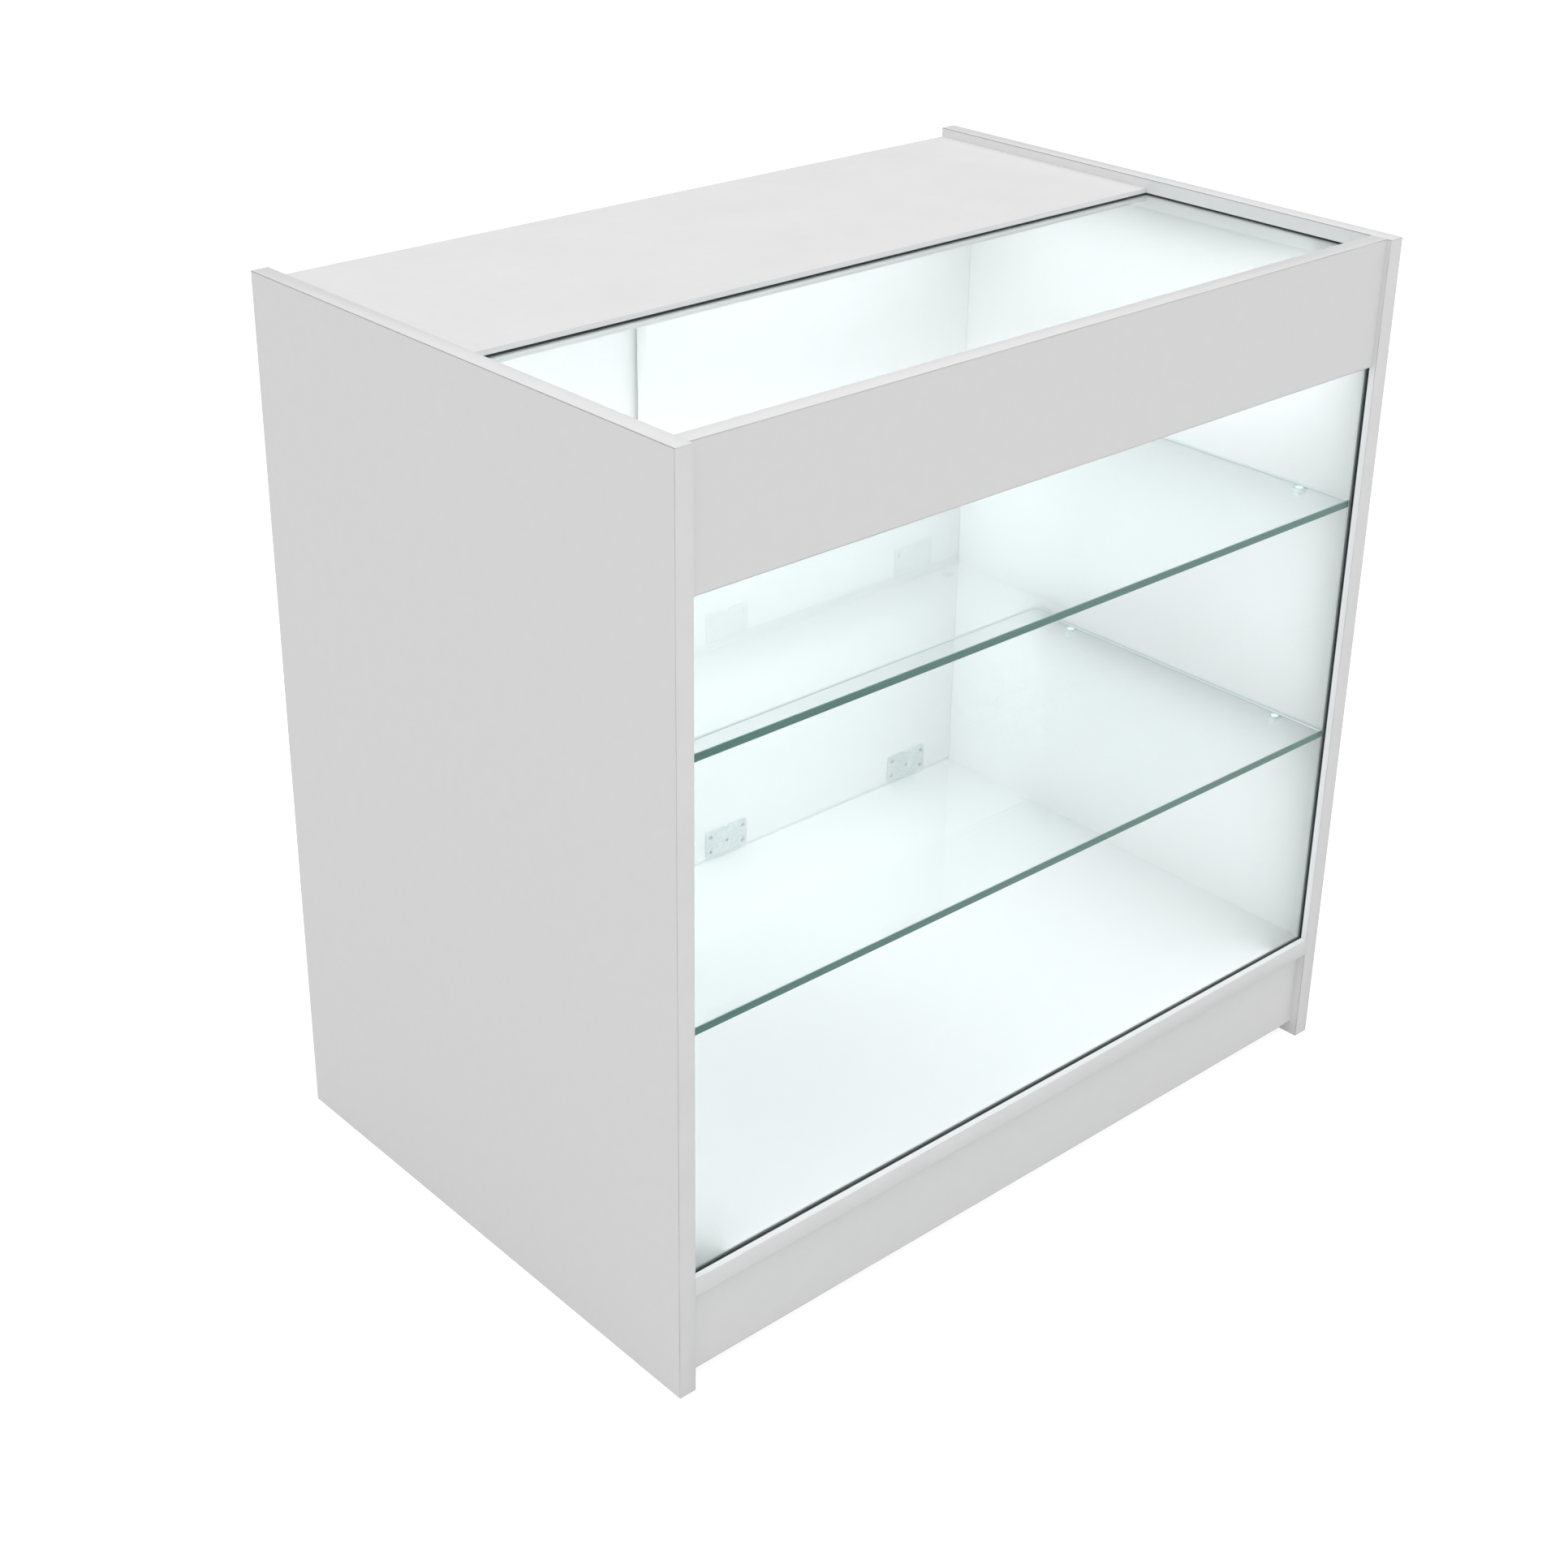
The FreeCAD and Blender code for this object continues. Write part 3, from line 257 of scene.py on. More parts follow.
# %% Hang the bar's lamp
def bay_lamp(name, middle, width, depth, watts, tilt):
    """A soft flat lamp, hidden from the camera, or none where it has no watts."""
    if not watts:
        return None
    data = bpy.data.lights.new(name, "AREA")
    data.shape = "RECTANGLE"
    data.size = width
    data.size_y = depth
    data.energy = watts
    data.color = BAY_LIGHT_COLOUR
    lamp = bpy.data.objects.new(name, data)
    bpy.context.scene.collection.objects.link(lamp)
    lamp.location = middle
    lamp.rotation_euler = (math.radians(tilt[0]), math.radians(tilt[1]), 0)
    lamp.visible_camera = False
    lamp.visible_glossy = False
    lamp.visible_transmission = False
    print(name, watts, "W over", round(width * depth, 3), "m2")
    return lamp


bar_low, bar_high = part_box("light_diffuser")
bar_middle = (0, bar_high.y + BAR_SPREAD / 2, bar_low.z)
bay_lamp("bar_lamp", bar_middle, bar_high.x - bar_low.x, BAR_SPREAD, BAR_WATTS, BAR_TILT)

# %% Light the bays
pane_low, pane_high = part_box("front_glass")
door_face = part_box("right_door_panel")[0].y
shelf_tops = {name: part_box(name + "_glass_shelf")[1].z for name in ("upper", "lower")}
shelf_feet = {name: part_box(name + "_glass_shelf")[0].z for name in ("upper", "lower")}
deck_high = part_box("deck_panel")[1]
bays = {
    "upper": (shelf_tops["upper"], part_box("worktop_panel")[0].z),
    "middle": (shelf_tops["lower"], shelf_feet["upper"]),
    "lower": (deck_high.z, shelf_feet["lower"]),
}
side_face = deck_high.x
half_bay = side_face - WALL_ROOM
bay_front = pane_high.y + LAMP_ROOM
bay_middle_y = (door_face + bay_front) / 2
inset_depth = door_face - bay_front - 2 * WALL_ROOM
for bay, (foot, head) in bays.items():
    height = head - foot
    middle_z = (head + foot) / 2
    for (half, way), fall, fill in zip(HALVES, FALL_WATTS[bay], FILL_WATTS[bay]):
        top = (way * half_bay / 2, bay_middle_y, head - LAMP_ROOM)
        bay_lamp(f"{bay}_fall_{half}", top, half_bay, inset_depth, fall, FACE_DOWN)
        front = (way * half_bay / 2, bay_front, middle_z)
        bay_lamp(f"{bay}_fill_{half}", front, half_bay, height, fill, FACE_DOORS)
    left = (LAMP_ROOM - side_face, bay_middle_y, middle_z)
    bay_lamp(bay + "_side", left, height, inset_depth, SIDE_WATTS[bay], FACE_RIGHT)

# %% Let the light out through the panes
FRONT_GLOW_WATTS = 1.45
TOP_GLOW_WATTS = 0.40
GLOW_ROOM = 0.5 * MM

apron_low, apron_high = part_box("front_apron")
opening_height = apron_low.z - deck_high.z
front_middle = (0, pane_low.y - GLOW_ROOM, deck_high.z + opening_height / 2)
bay_lamp("front_glow", front_middle, 2 * side_face, opening_height, FRONT_GLOW_WATTS, FACE_FRONT)

opening_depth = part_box("worktop_edge_bands")[0].y - apron_high.y
top_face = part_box("top_glass")[1].z
top_middle = (0, apron_high.y + opening_depth / 2, top_face + GLOW_ROOM)
bay_lamp("top_glow", top_middle, 2 * side_face, opening_depth, TOP_GLOW_WATTS, FACE_UP)

# %% [markdown]
# ## How finishes are written
#
# A finish is one shader with a few patterns on it. Photographs of surfaces
# would be quicker but show their edges and don't scale. Patterns from noise
# have no edges, so every finish here is noise on the piece's own coordinates,
# given by the size of its cells in metres. One helper makes the cells, one
# lets them shift the colour, one the gloss and one raises them as relief.

# %% Start a finish and put it on
def grey(level):
    """A colour without a hue."""
    return (level, level, level)


def start_finish(name, colour, roughness):
    """A new finish and its shader, with an even colour and gloss to start from."""
    finish = bpy.data.materials.new(name)
    finish.use_nodes = True
    shader = finish.node_tree.nodes["Principled BSDF"]
    shader.inputs["Base Color"].default_value = (*colour, 1)
    shader.inputs["Roughness"].default_value = roughness
    return finish, shader


def paint_node(name, finish):
    """Give every slot of a node the same finish."""
    for slot in nodes[name].material_slots:
        slot.material = finish


print("helpers ready: grey, start_finish, paint_node")

# %% Let noise run the colour, the gloss and the relief
NOISE_LOW = 0.3
NOISE_HIGH = 0.7


def cells(finish, size, stretch=(1, 1, 1), detail=2.0):
    """Soft random cells about size metres across, longer where stretch is more."""
    tree = finish.node_tree
    place = tree.nodes.new("ShaderNodeTexCoord")
    grid = tree.nodes.new("ShaderNodeMapping")
    grid.inputs["Scale"].default_value = [1 / (size * way) for way in stretch]
    noise = tree.nodes.new("ShaderNodeTexNoise")
    noise.inputs["Scale"].default_value = 1.0
    noise.inputs["Detail"].default_value = detail
    tree.links.new(place.outputs["Object"], grid.inputs["Vector"])
    tree.links.new(grid.outputs["Vector"], noise.inputs["Vector"])
    return noise.outputs["Fac"]


def tint(finish, shader, pattern, dark, light):
    """Let a pattern run the colour from dark to light."""
    tree = finish.node_tree
    ramp = tree.nodes.new("ShaderNodeValToRGB")
    ramp.color_ramp.elements[0].position = NOISE_LOW
    ramp.color_ramp.elements[1].position = NOISE_HIGH
    ramp.color_ramp.elements[0].color = (*dark, 1)
    ramp.color_ramp.elements[1].color = (*light, 1)
    tree.links.new(pattern, ramp.inputs["Fac"])
    tree.links.new(ramp.outputs["Color"], shader.inputs["Base Color"])


def vary_gloss(finish, shader, pattern, smooth, rough):
    """Let a pattern run the roughness between two values."""
    tree = finish.node_tree
    reach = tree.nodes.new("ShaderNodeMapRange")
    reach.inputs["From Min"].default_value = NOISE_LOW
    reach.inputs["From Max"].default_value = NOISE_HIGH
    reach.inputs["To Min"].default_value = smooth
    reach.inputs["To Max"].default_value = rough
    tree.links.new(pattern, reach.inputs["Value"])
    tree.links.new(reach.outputs["Result"], shader.inputs["Roughness"])


def raise_relief(finish, shader, pattern, height):
    """Raise a pattern as relief, on top of any relief that is there already."""
    tree = finish.node_tree
    relief = tree.nodes.new("ShaderNodeBump")
    relief.inputs["Distance"].default_value = height
    tree.links.new(pattern, relief.inputs["Height"])
    if shader.inputs["Normal"].is_linked:
        tree.links.new(shader.inputs["Normal"].links[0].from_socket, relief.inputs["Normal"])
    tree.links.new(relief.outputs["Normal"], shader.inputs["Normal"])


print("helpers ready: cells, tint, vary_gloss, raise_relief")

# %% [markdown]
# ## White faced board
#
# The carcase is chipboard faced with white melamine paper. From two metres it
# is plain white, but a flat white looks like paint on plastic. The real facing
# has a fine pearl relief from its press plate, a slight unevenness of the paper
# and soft wiping marks that change only the gloss. All three are kept so faint
# that they show where light grazes the board.

# %% The board finish
BOARD_DARK = grey(0.794)
BOARD_LIGHT = grey(0.806)

white_board, board_shader = start_finish("white_board", grey(0.80), 0.42)
tint(white_board, board_shader, cells(white_board, 14 * MM, detail=5), BOARD_DARK, BOARD_LIGHT)
wiping = cells(white_board, 60 * MM, stretch=(1, 1, 0.25), detail=3)
vary_gloss(white_board, board_shader, wiping, 0.37, 0.47)
raise_relief(white_board, board_shader, cells(white_board, 0.9 * MM, detail=1), 0.010 * MM)
raise_relief(white_board, board_shader, cells(white_board, 35 * MM, detail=1), 0.020 * MM)

SIDES = ("left_side_panel", "right_side_panel")
BOARDS = SIDES + (
    "deck_panel", "worktop_panel", "front_apron", "front_kick_board", "rear_kick_board",
    "right_door_panel", "left_door_panel",
)
for name in BOARDS:
    paint_node(name, white_board)
print("boards finished:", len(BOARDS))

# %% [markdown]
# ## The bare feet of the sides
#
# Both sides stand on their lower edges, and those are the only ones with no
# band. Whoever tips the counter sees the core there: pressed chips of wood. A
# second piece for a face no thicker than paper would be fragile, so the sides'
# finish turns from facing to core below the first fifth of a millimetre.

# %% Show the core at the feet
CORE_DARK = (0.27, 0.17, 0.09)
CORE_LIGHT = (0.60, 0.45, 0.29)
CORE_REACH = 0.2 * MM


def along(finish, axis, start, end):
    """Nought to one from start to end along an axis of the counter."""
    tree = finish.node_tree
    place = tree.nodes.new("ShaderNodeTexCoord")
    split = tree.nodes.new("ShaderNodeSeparateXYZ")
    reach = tree.nodes.new("ShaderNodeMapRange")
    reach.inputs["From Min"].default_value = start
    reach.inputs["From Max"].default_value = end
    tree.links.new(place.outputs["Object"], split.inputs["Vector"])
    tree.links.new(split.outputs[axis], reach.inputs["Value"])
    return reach.outputs["Result"]


side_board = white_board.copy()
side_board.name = "white_board_bare_foot"
side_tree = side_board.node_tree
side_shader = side_tree.nodes["Principled BSDF"]
facing = side_shader.inputs["Base Color"].links[0].from_socket
chips = cells(side_board, 2.5 * MM, stretch=(1, 2.2, 1), detail=4)
tint(side_board, side_shader, chips, CORE_DARK, CORE_LIGHT)
core = side_shader.inputs["Base Color"].links[0].from_socket
choose = side_tree.nodes.new("ShaderNodeMixRGB")
above_foot = along(side_board, "Z", frame_low.z + CORE_REACH / 2, frame_low.z + CORE_REACH)
side_tree.links.new(above_foot, choose.inputs["Fac"])
side_tree.links.new(core, choose.inputs["Color1"])
side_tree.links.new(facing, choose.inputs["Color2"])
side_tree.links.new(choose.outputs["Color"], side_shader.inputs["Base Color"])
for name in SIDES:
    paint_node(name, side_board)
print("core shows at the feet of", len(SIDES), "sides")

# %% [markdown]
# ## Edge bands
#
# Each visible edge of a board is closed by a strip of plastic one millimetre
# thick, glued on and trimmed flush. Beside every edge the eye sees a fine dark
# seam, partly the glue line and partly shade. A line drawn in a material would
# slide or blur, so each strip is made as a real block with rounded arrises, and
# its trimmed sides are painted with that shade: a greyer finish than its face,
# darker along the top edges than lower down.

# %% Helpers for shapes
SHARP_FROM = math.radians(30.0)


def add_block(shape, low, high):
    """Add a closed block between two corners."""
    made = bmesh.ops.create_cube(shape, size=1)["verts"]
    size = [end - start for start, end in zip(low, high)]
    middle = [(end + start) / 2 for start, end in zip(low, high)]
    bmesh.ops.scale(shape, vec=size, verts=made)
    bmesh.ops.translate(shape, vec=middle, verts=made)


def round_edges(shape, radius, segments=2):
    """Round every edge whose two faces meet at a sharp angle."""
    sharp = [edge for edge in shape.edges if edge.calc_face_angle(0.0) > SHARP_FROM]
    bmesh.ops.bevel(
        shape, geom=sharp, offset=radius, segments=segments,
        profile=0.5, affect="EDGES", material=-1, clamp_overlap=True,
    )


def make_piece(name, shape, body, finishes, stands_for, crease=40.0):
    """Turn a shape into a piece that rides on a body in place of its nodes."""
    mesh = bpy.data.meshes.new(name)
    for finish in finishes:
        mesh.materials.append(finish)
    shape.to_mesh(mesh)
    shape.free()
    mesh.shade_smooth()
    mesh.set_sharp_from_angle(angle=math.radians(crease))
    piece = bpy.data.objects.new(name, mesh)
    bpy.context.scene.collection.objects.link(piece)
    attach(piece, body)
    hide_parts(*stands_for)


print("helpers ready: add_block, round_edges, make_piece")

# %% The band finishes
edging, edging_shader = start_finish("white_edging", grey(0.80), 0.36)
tint(edging, edging_shader, cells(edging, 40 * MM), grey(0.79), grey(0.815))
raise_relief(edging, edging_shader, cells(edging, 1.4 * MM, detail=1), 0.012 * MM)

# painted shade: the bands' trimmed sides are painted grey for the glue line and the shade in the
# seam beside each edge; the faint grey is for the sides lower down
edging_seam_shade, seam_shader = start_finish("edging_seam_shade", grey(0.48), 0.55)
tint(edging_seam_shade, seam_shader, cells(edging_seam_shade, 6 * MM, detail=4), grey(0.42), grey(0.55))

faint_seam_shade, faint_shader = start_finish("faint_seam_shade", grey(0.64), 0.5)
tint(faint_seam_shade, faint_shader, cells(faint_seam_shade, 90 * MM, detail=4), grey(0.54), grey(0.74))
print("edging and its seams ready")

# %% A helper for edge bands
BAND = 1.0 * MM
BAND_ARRIS = 0.30 * MM
NEARLY_SQUARE_ON = 0.9


def thin_axis(low, high):
    """The axis along which a box is thinnest."""
    sides = [end - start for start, end in zip(low, high)]
    return sides.index(min(sides))


def banding(name, strips, seam_shade_from):
    """Strips as one piece; trimmed sides get painted seam shade, darker above seam_shade_from
    than below.
    """
    shape = bmesh.new()
    for low, high in strips:
        add_block(shape, low, high)
    round_edges(shape, BAND_ARRIS)
    face_axes = {thin_axis(low, high) for low, high in strips}
    for face in shape.faces:
        if any(abs(face.normal[axis]) > NEARLY_SQUARE_ON for axis in face_axes):
            face.material_index = 0
        else:
            face.material_index = 1 if face.calc_center_median().z > seam_shade_from else 2
    finishes = (edging, edging_seam_shade, faint_seam_shade)
    make_piece(name + "_rounded", shape, "cabinet", finishes, (name,))
    print(name, "strips:", len(strips))


# the painted seam shade is darker on the trimmed sides above this line
top_line = frame_high.z - BAND
print("helpers ready: thin_axis, banding; seams are darkest above", round(top_line, 3), "m")

# %% Band the sides, the deck and the worktop
for side in ("left", "right"):
    name = side + "_side_edge_bands"
    low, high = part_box(name)
    under_top = high.z - BAND
    banding(name, (
        (low, (high.x, low.y + BAND, under_top)),
        ((low.x, high.y - BAND, low.z), (high.x, high.y, under_top)),
        ((low.x, low.y, under_top), high),
    ), top_line)

low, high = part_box("deck_edge_bands")
banding("deck_edge_bands", (
    (low, (high.x, low.y + BAND, high.z)),
    ((low.x, high.y - BAND, low.z), high),
), top_line)

low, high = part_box("worktop_edge_bands")
groove_low, groove_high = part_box("top_glass_rubber")
banding("worktop_edge_bands", (
    (low, (high.x, low.y + BAND, groove_low.z)),
    ((low.x, low.y, groove_high.z), (high.x, low.y + BAND, high.z)),
    ((low.x, high.y - BAND, low.z), high),
), top_line)

# %% Band the apron and the kick boards
low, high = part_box("apron_edge_bands")
groove_low, groove_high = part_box("front_glass_rubber")
banding("apron_edge_bands", (
    ((low.x, low.y, high.z - BAND), high),
    (low, (high.x, groove_low.y, low.z + BAND)),
    ((low.x, groove_high.y, low.z), (high.x, high.y, low.z + BAND)),
), frame_high.z)

low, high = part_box("kick_edge_bands")
kick_low, kick_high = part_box("front_kick_board")
kick_thickness = kick_high.y - kick_low.y
banding("kick_edge_bands", (
    (low, (high.x, low.y + kick_thickness, high.z)),
    ((low.x, high.y - kick_thickness, low.z), high),
), top_line)

# %% [markdown]
# ## Glass
#
# The panes are six millimetre float glass. Looked at squarely it is nearly
# clear, but light that travels along it turns green. A tinted surface would
# colour it evenly, which is wrong. Real thickness with a faint green absorption
# inside gives both, and bends what is behind the pane a few millimetres to the
# side. The ground edges that stand in the rubber are dull and dark green.

# %% The glass finishes
GLASS_IOR = 1.52
GLASS_GREEN = (0.55, 0.88, 0.80)
GLASS_DENSITY = 8.0


def glass_finish(name):
    """Clear glass that takes its green from its depth."""
    finish, shader = start_finish(name, grey(1.0), 0.0)
    shader.inputs["Transmission Weight"].default_value = 1.0
    shader.inputs["IOR"].default_value = GLASS_IOR
    tree = finish.node_tree
    depth = tree.nodes.new("ShaderNodeVolumeAbsorption")
    depth.inputs["Color"].default_value = (*GLASS_GREEN, 1)
    depth.inputs["Density"].default_value = GLASS_DENSITY
    tree.links.new(depth.outputs["Volume"], tree.nodes["Material Output"].inputs["Volume"])
    return finish


pane_glass = glass_finish("pane_glass")
shelf_glass = glass_finish("shelf_glass")
print("glass ready, absorption density", GLASS_DENSITY, "per metre")

# %% The finishes of the glass edges
# the shelf's polished edge is deepest at its left end and pales up to this place
EDGE_PALE_FROM = 0.1 * frame_high.x
TEAL_DEEP = (0.045, 0.28, 0.225)
TEAL_PALE = (0.125, 0.35, 0.29)
PAINTED_EDGE_GLOW_COLOUR = (0.66, 0.74, 0.75)

ground_edge, ground_shader = start_finish("ground_glass_edge", (0.22, 0.29, 0.28), 0.45)
ground_cells = cells(ground_edge, 3 * MM, detail=4)
tint(ground_edge, ground_shader, ground_cells, (0.19, 0.26, 0.25), (0.25, 0.32, 0.31))

polished_edge, polished_shader = start_finish("polished_glass_edge", (0.09, 0.28, 0.24), 0.2)
polished_shader.inputs["Specular IOR Level"].default_value = 0.35
polished_cells = cells(polished_edge, 18 * MM, stretch=(6, 6, 0.2), detail=3)
towards_right = along(polished_edge, "X", frame_low.x, EDGE_PALE_FROM)
edge_both = maths(polished_edge.node_tree, "ADD", polished_cells, towards_right)
edge_blend = maths(polished_edge.node_tree, "DIVIDE", edge_both, 2)
tint(polished_edge, polished_shader, edge_blend, TEAL_DEEP, TEAL_PALE)

glass_arris, arris_shader = start_finish("glass_arris", (0.31, 0.52, 0.51), 0.25)
arris_cells = cells(glass_arris, 5 * MM)
tint(glass_arris, arris_shader, arris_cells, (0.26, 0.47, 0.46), (0.36, 0.57, 0.56))

# painted glow: the inner side of a shelf edge emits a faint light, standing in for the light
# that travels in the glass
painted_edge_glow, painted_glow_shader = start_finish("shelf_edge_painted_glow", (0.1, 0.1, 0.1), 0.6)
tint(painted_edge_glow, painted_glow_shader, cells(painted_edge_glow, 30 * MM), grey(0.08), grey(0.12))
painted_glow_shader.inputs["Emission Color"].default_value = (*PAINTED_EDGE_GLOW_COLOUR, 1)
painted_glow_shader.inputs["Emission Strength"].default_value = 1.0
print("edges ready: ground, polished, arris and within")

# %% Cut the two panes
PANE_FREE = 0.02 * MM
PANE_ARRIS = 0.30 * MM
PANE_ENTRY = pane_high.x - side_face
PANE_CREASE = 20.0
SQUARE_ON = 0.99


def cut_at(shape, axis, place):
    """Part every face of a shape at one value of an axis."""
    point = Vector((0, 0, 0))
    point[axis] = place
    normal = Vector((0, 0, 0))
    normal[axis] = 1
    everything = shape.verts[:] + shape.edges[:] + shape.faces[:]
    bmesh.ops.bisect_plane(shape, geom=everything, plane_co=point, plane_no=normal)


def pane(name, node, inner_way):
    """A pane with ground edges and, on its inner face, the margin that lies on the rubber."""
    low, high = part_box(node)
    hair = Vector((PANE_FREE, PANE_FREE, PANE_FREE))
    shape = bmesh.new()
    add_block(shape, low + hair, high - hair)
    round_edges(shape, PANE_ARRIS, segments=1)
    across = thin_axis(low, high)
    others = [axis for axis in range(3) if axis != across]
    for axis in others:
        cut_at(shape, axis, low[axis] + PANE_ENTRY)
        cut_at(shape, axis, high[axis] - PANE_ENTRY)
    for face in shape.faces:
        middle = face.calc_center_median()
        depth = min(min(middle[axis] - low[axis], high[axis] - middle[axis]) for axis in others)
        flat = abs(face.normal[across]) > SQUARE_ON
        margin = face.normal[across] * inner_way > 0 and depth < PANE_ENTRY
        face.material_index = 0 if flat and not margin else 1
    finishes = (pane_glass, ground_edge)
    make_piece(name, shape, "cabinet", finishes, (node,), PANE_CREASE)
    print(name, [round(side / MM, 1) for side in high - low], "mm")


pane("front_pane", "front_glass", 1)
pane("top_pane", "top_glass", -1)

# %% [markdown]
# ## Glass shelves
#
# The shelves' long edges are polished, and they are the strongest colour on the
# counter: light from the whole sheet comes out there as teal. Following that
# light bounce by bounce would take hundreds of bounces. So each shelf keeps its
# exact outline from its node and is real glass, and a skin thinner than paper
# stands a hair outside its edges. From outside the skin shows its teal. Seen
# through the sheet, an edge carries the light that travels in the glass, and
# nearly vanishes before the white boards, so its inner side gets a faint painted
# glow: its finish emits light in place of that light in the glass.

# %% A helper that copies a node
MERGE_WITHIN = 0.001 * MM
FLAT_WITHIN = math.radians(1.0)


def copy_of(node):
    """A node's shape with its doubles merged and its flat faces whole."""
    shape = bmesh.new()
    shape.from_mesh(nodes[node].data)
    bmesh.ops.remove_doubles(shape, verts=shape.verts, dist=MERGE_WITHIN)
    bmesh.ops.dissolve_limit(
        shape, angle_limit=FLAT_WITHIN, verts=shape.verts, edges=shape.edges,
    )
    return shape


print("helper ready: copy_of")

# %% Make the shelves
EDGE_LEAN = 0.2
FRONT_LEAN = 0.3
FACE_LEAN = 0.98
SKIN = 0.03 * MM
SKIN_ROOM = 0.06 * MM
SHELF_CREASE = 25.0
SHEET_SLOT, SKIN_SLOT, ARRIS_SLOT, PAINTED_GLOW_SLOT = range(4)


def shelf(name, node):
    """A sheet of real glass, with a skin of teal a hair outside its edges."""
    low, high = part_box(node)
    skin = copy_of(node)
    others = [face for face in skin.faces if abs(face.normal.z) > EDGE_LEAN]
    bmesh.ops.delete(skin, geom=others, context="FACES")
    bmesh.ops.solidify(skin, geom=skin.faces[:], thickness=SKIN)
    for face in skin.faces:
        face.material_index = SKIN_SLOT
    skin_mesh = bpy.data.meshes.new(name + "_skin")
    skin.to_mesh(skin_mesh)
    skin.free()

    shape = copy_of(node)
    middle = (low + high) / 2
    shrink = [1 - 2 * SKIN_ROOM / (end - start) for start, end in zip(low, high)]
    bmesh.ops.translate(shape, vec=-middle, verts=shape.verts)
    bmesh.ops.scale(shape, vec=(shrink[0], shrink[1], 1), verts=shape.verts)
    bmesh.ops.translate(shape, vec=middle, verts=shape.verts)
    for face in shape.faces:
        lean = abs(face.normal.z)
        if lean > FACE_LEAN:
            face.material_index = SHEET_SLOT
        elif lean > EDGE_LEAN:
            face.material_index = ARRIS_SLOT
        elif face.normal.y < -FRONT_LEAN:
            face.material_index = SHEET_SLOT
        else:
            face.material_index = PAINTED_GLOW_SLOT
    shape.from_mesh(skin_mesh)
    bpy.data.meshes.remove(skin_mesh)
    print(name, "faces:", len(shape.faces))
    finishes = (shelf_glass, polished_edge, glass_arris, painted_edge_glow)
    make_piece(name, shape, "cabinet", finishes, (node,), SHELF_CREASE)


shelf("upper_shelf_sheet", "upper_glass_shelf")
shelf("lower_shelf_sheet", "lower_glass_shelf")

# %% [markdown]
# ## Rubber, plastics and metals
#
# The small parts are moulded, stamped or drawn, and each way of making leaves
# its own surface. Rubber is dull with a fine bloom, moulded plastic has a soft
# skin, zinc plating is patchy, and drawn aluminium carries lines along its
# length. Each finish below is one base tone with that one sign of its making.

# %% A helper for moulded, plated and drawn parts
def plain_finish(name, dark, light, smooth, rough, grain, height, stretch=(1, 1, 1)):
    """One tone from dark to light, with gloss from smooth to rough and a fine relief."""
    finish, shader = start_finish(name, light, rough)
    pattern = cells(finish, grain, stretch, detail=3)
    tint(finish, shader, pattern, dark, light)
    vary_gloss(finish, shader, pattern, smooth, rough)
    raise_relief(finish, shader, pattern, height)
    return finish, shader


print("helper ready: plain_finish")

# %% Rubber and plastics
# painted glow: clear plastic hands on the light inside it, which no lamp reaches under the
# shelf, so the pegs and pads emit a faint light in its place
CLEAR_PAINTED_GLOW = (0.72, 0.82, 0.82)
PEG_PAINTED_GLOW = 0.15
PAD_PAINTED_GLOW = 0.50

black_rubber, _ = plain_finish(
    "black_rubber", grey(0.024), grey(0.038), 0.50, 0.68, 0.8 * MM, 0.010 * MM)
smoky_rubber, _ = plain_finish(
    "smoky_rubber", (0.20, 0.24, 0.23), (0.26, 0.30, 0.29), 0.40, 0.55, 0.8 * MM, 0.010 * MM)
fitting_plastic, _ = plain_finish(
    "fitting_plastic", (0.50, 0.55, 0.55), (0.66, 0.70, 0.70), 0.42, 0.58, 2.4 * MM, 0.010 * MM)
peg_plastic, peg_shader = plain_finish(
    "peg_plastic", (0.66, 0.75, 0.75), (0.80, 0.88, 0.88), 0.25, 0.40, 2.0 * MM, 0.004 * MM)
peg_shader.inputs["Subsurface Weight"].default_value = 0.3
peg_shader.inputs["Subsurface Scale"].default_value = 3 * MM
clear_pad, pad_shader = plain_finish(
    "clear_pad", (0.80, 0.86, 0.86), (0.86, 0.91, 0.91), 0.20, 0.34, 2.0 * MM, 0.004 * MM)
pad_shader.inputs["Coat Weight"].default_value = 0.4
for shader, strength in ((peg_shader, PEG_PAINTED_GLOW), (pad_shader, PAD_PAINTED_GLOW)):
    shader.inputs["Emission Color"].default_value = (*CLEAR_PAINTED_GLOW, 1)
    shader.inputs["Emission Strength"].default_value = strength
bumper_pad, bumper_shader = plain_finish(
    "bumper_pad", grey(0.78), grey(0.86), 0.25, 0.40, 2.0 * MM, 0.004 * MM)
bumper_shader.inputs["Transmission Weight"].default_value = 0.5
bumper_shader.inputs["IOR"].default_value = 1.42
roller_nylon, _ = plain_finish(
    "roller_nylon", (0.70, 0.69, 0.64), (0.78, 0.77, 0.72), 0.30, 0.45, 1.0 * MM, 0.008 * MM)
cap_plastic, _ = plain_finish(
    "cap_plastic", grey(0.60), grey(0.66), 0.32, 0.44, 1.2 * MM, 0.006 * MM)
saddle_plastic, _ = plain_finish(
    "saddle_plastic", grey(0.72), grey(0.78), 0.30, 0.42, 1.2 * MM, 0.006 * MM)
inlet_plastic, _ = plain_finish(
    "inlet_plastic", grey(0.018), grey(0.030), 0.32, 0.46, 0.8 * MM, 0.008 * MM)
lead_sheath, _ = plain_finish(
    "lead_sheath", grey(0.68), grey(0.76), 0.38, 0.50, 2.5 * MM, 0.010 * MM)
print("rubber and plastics ready")

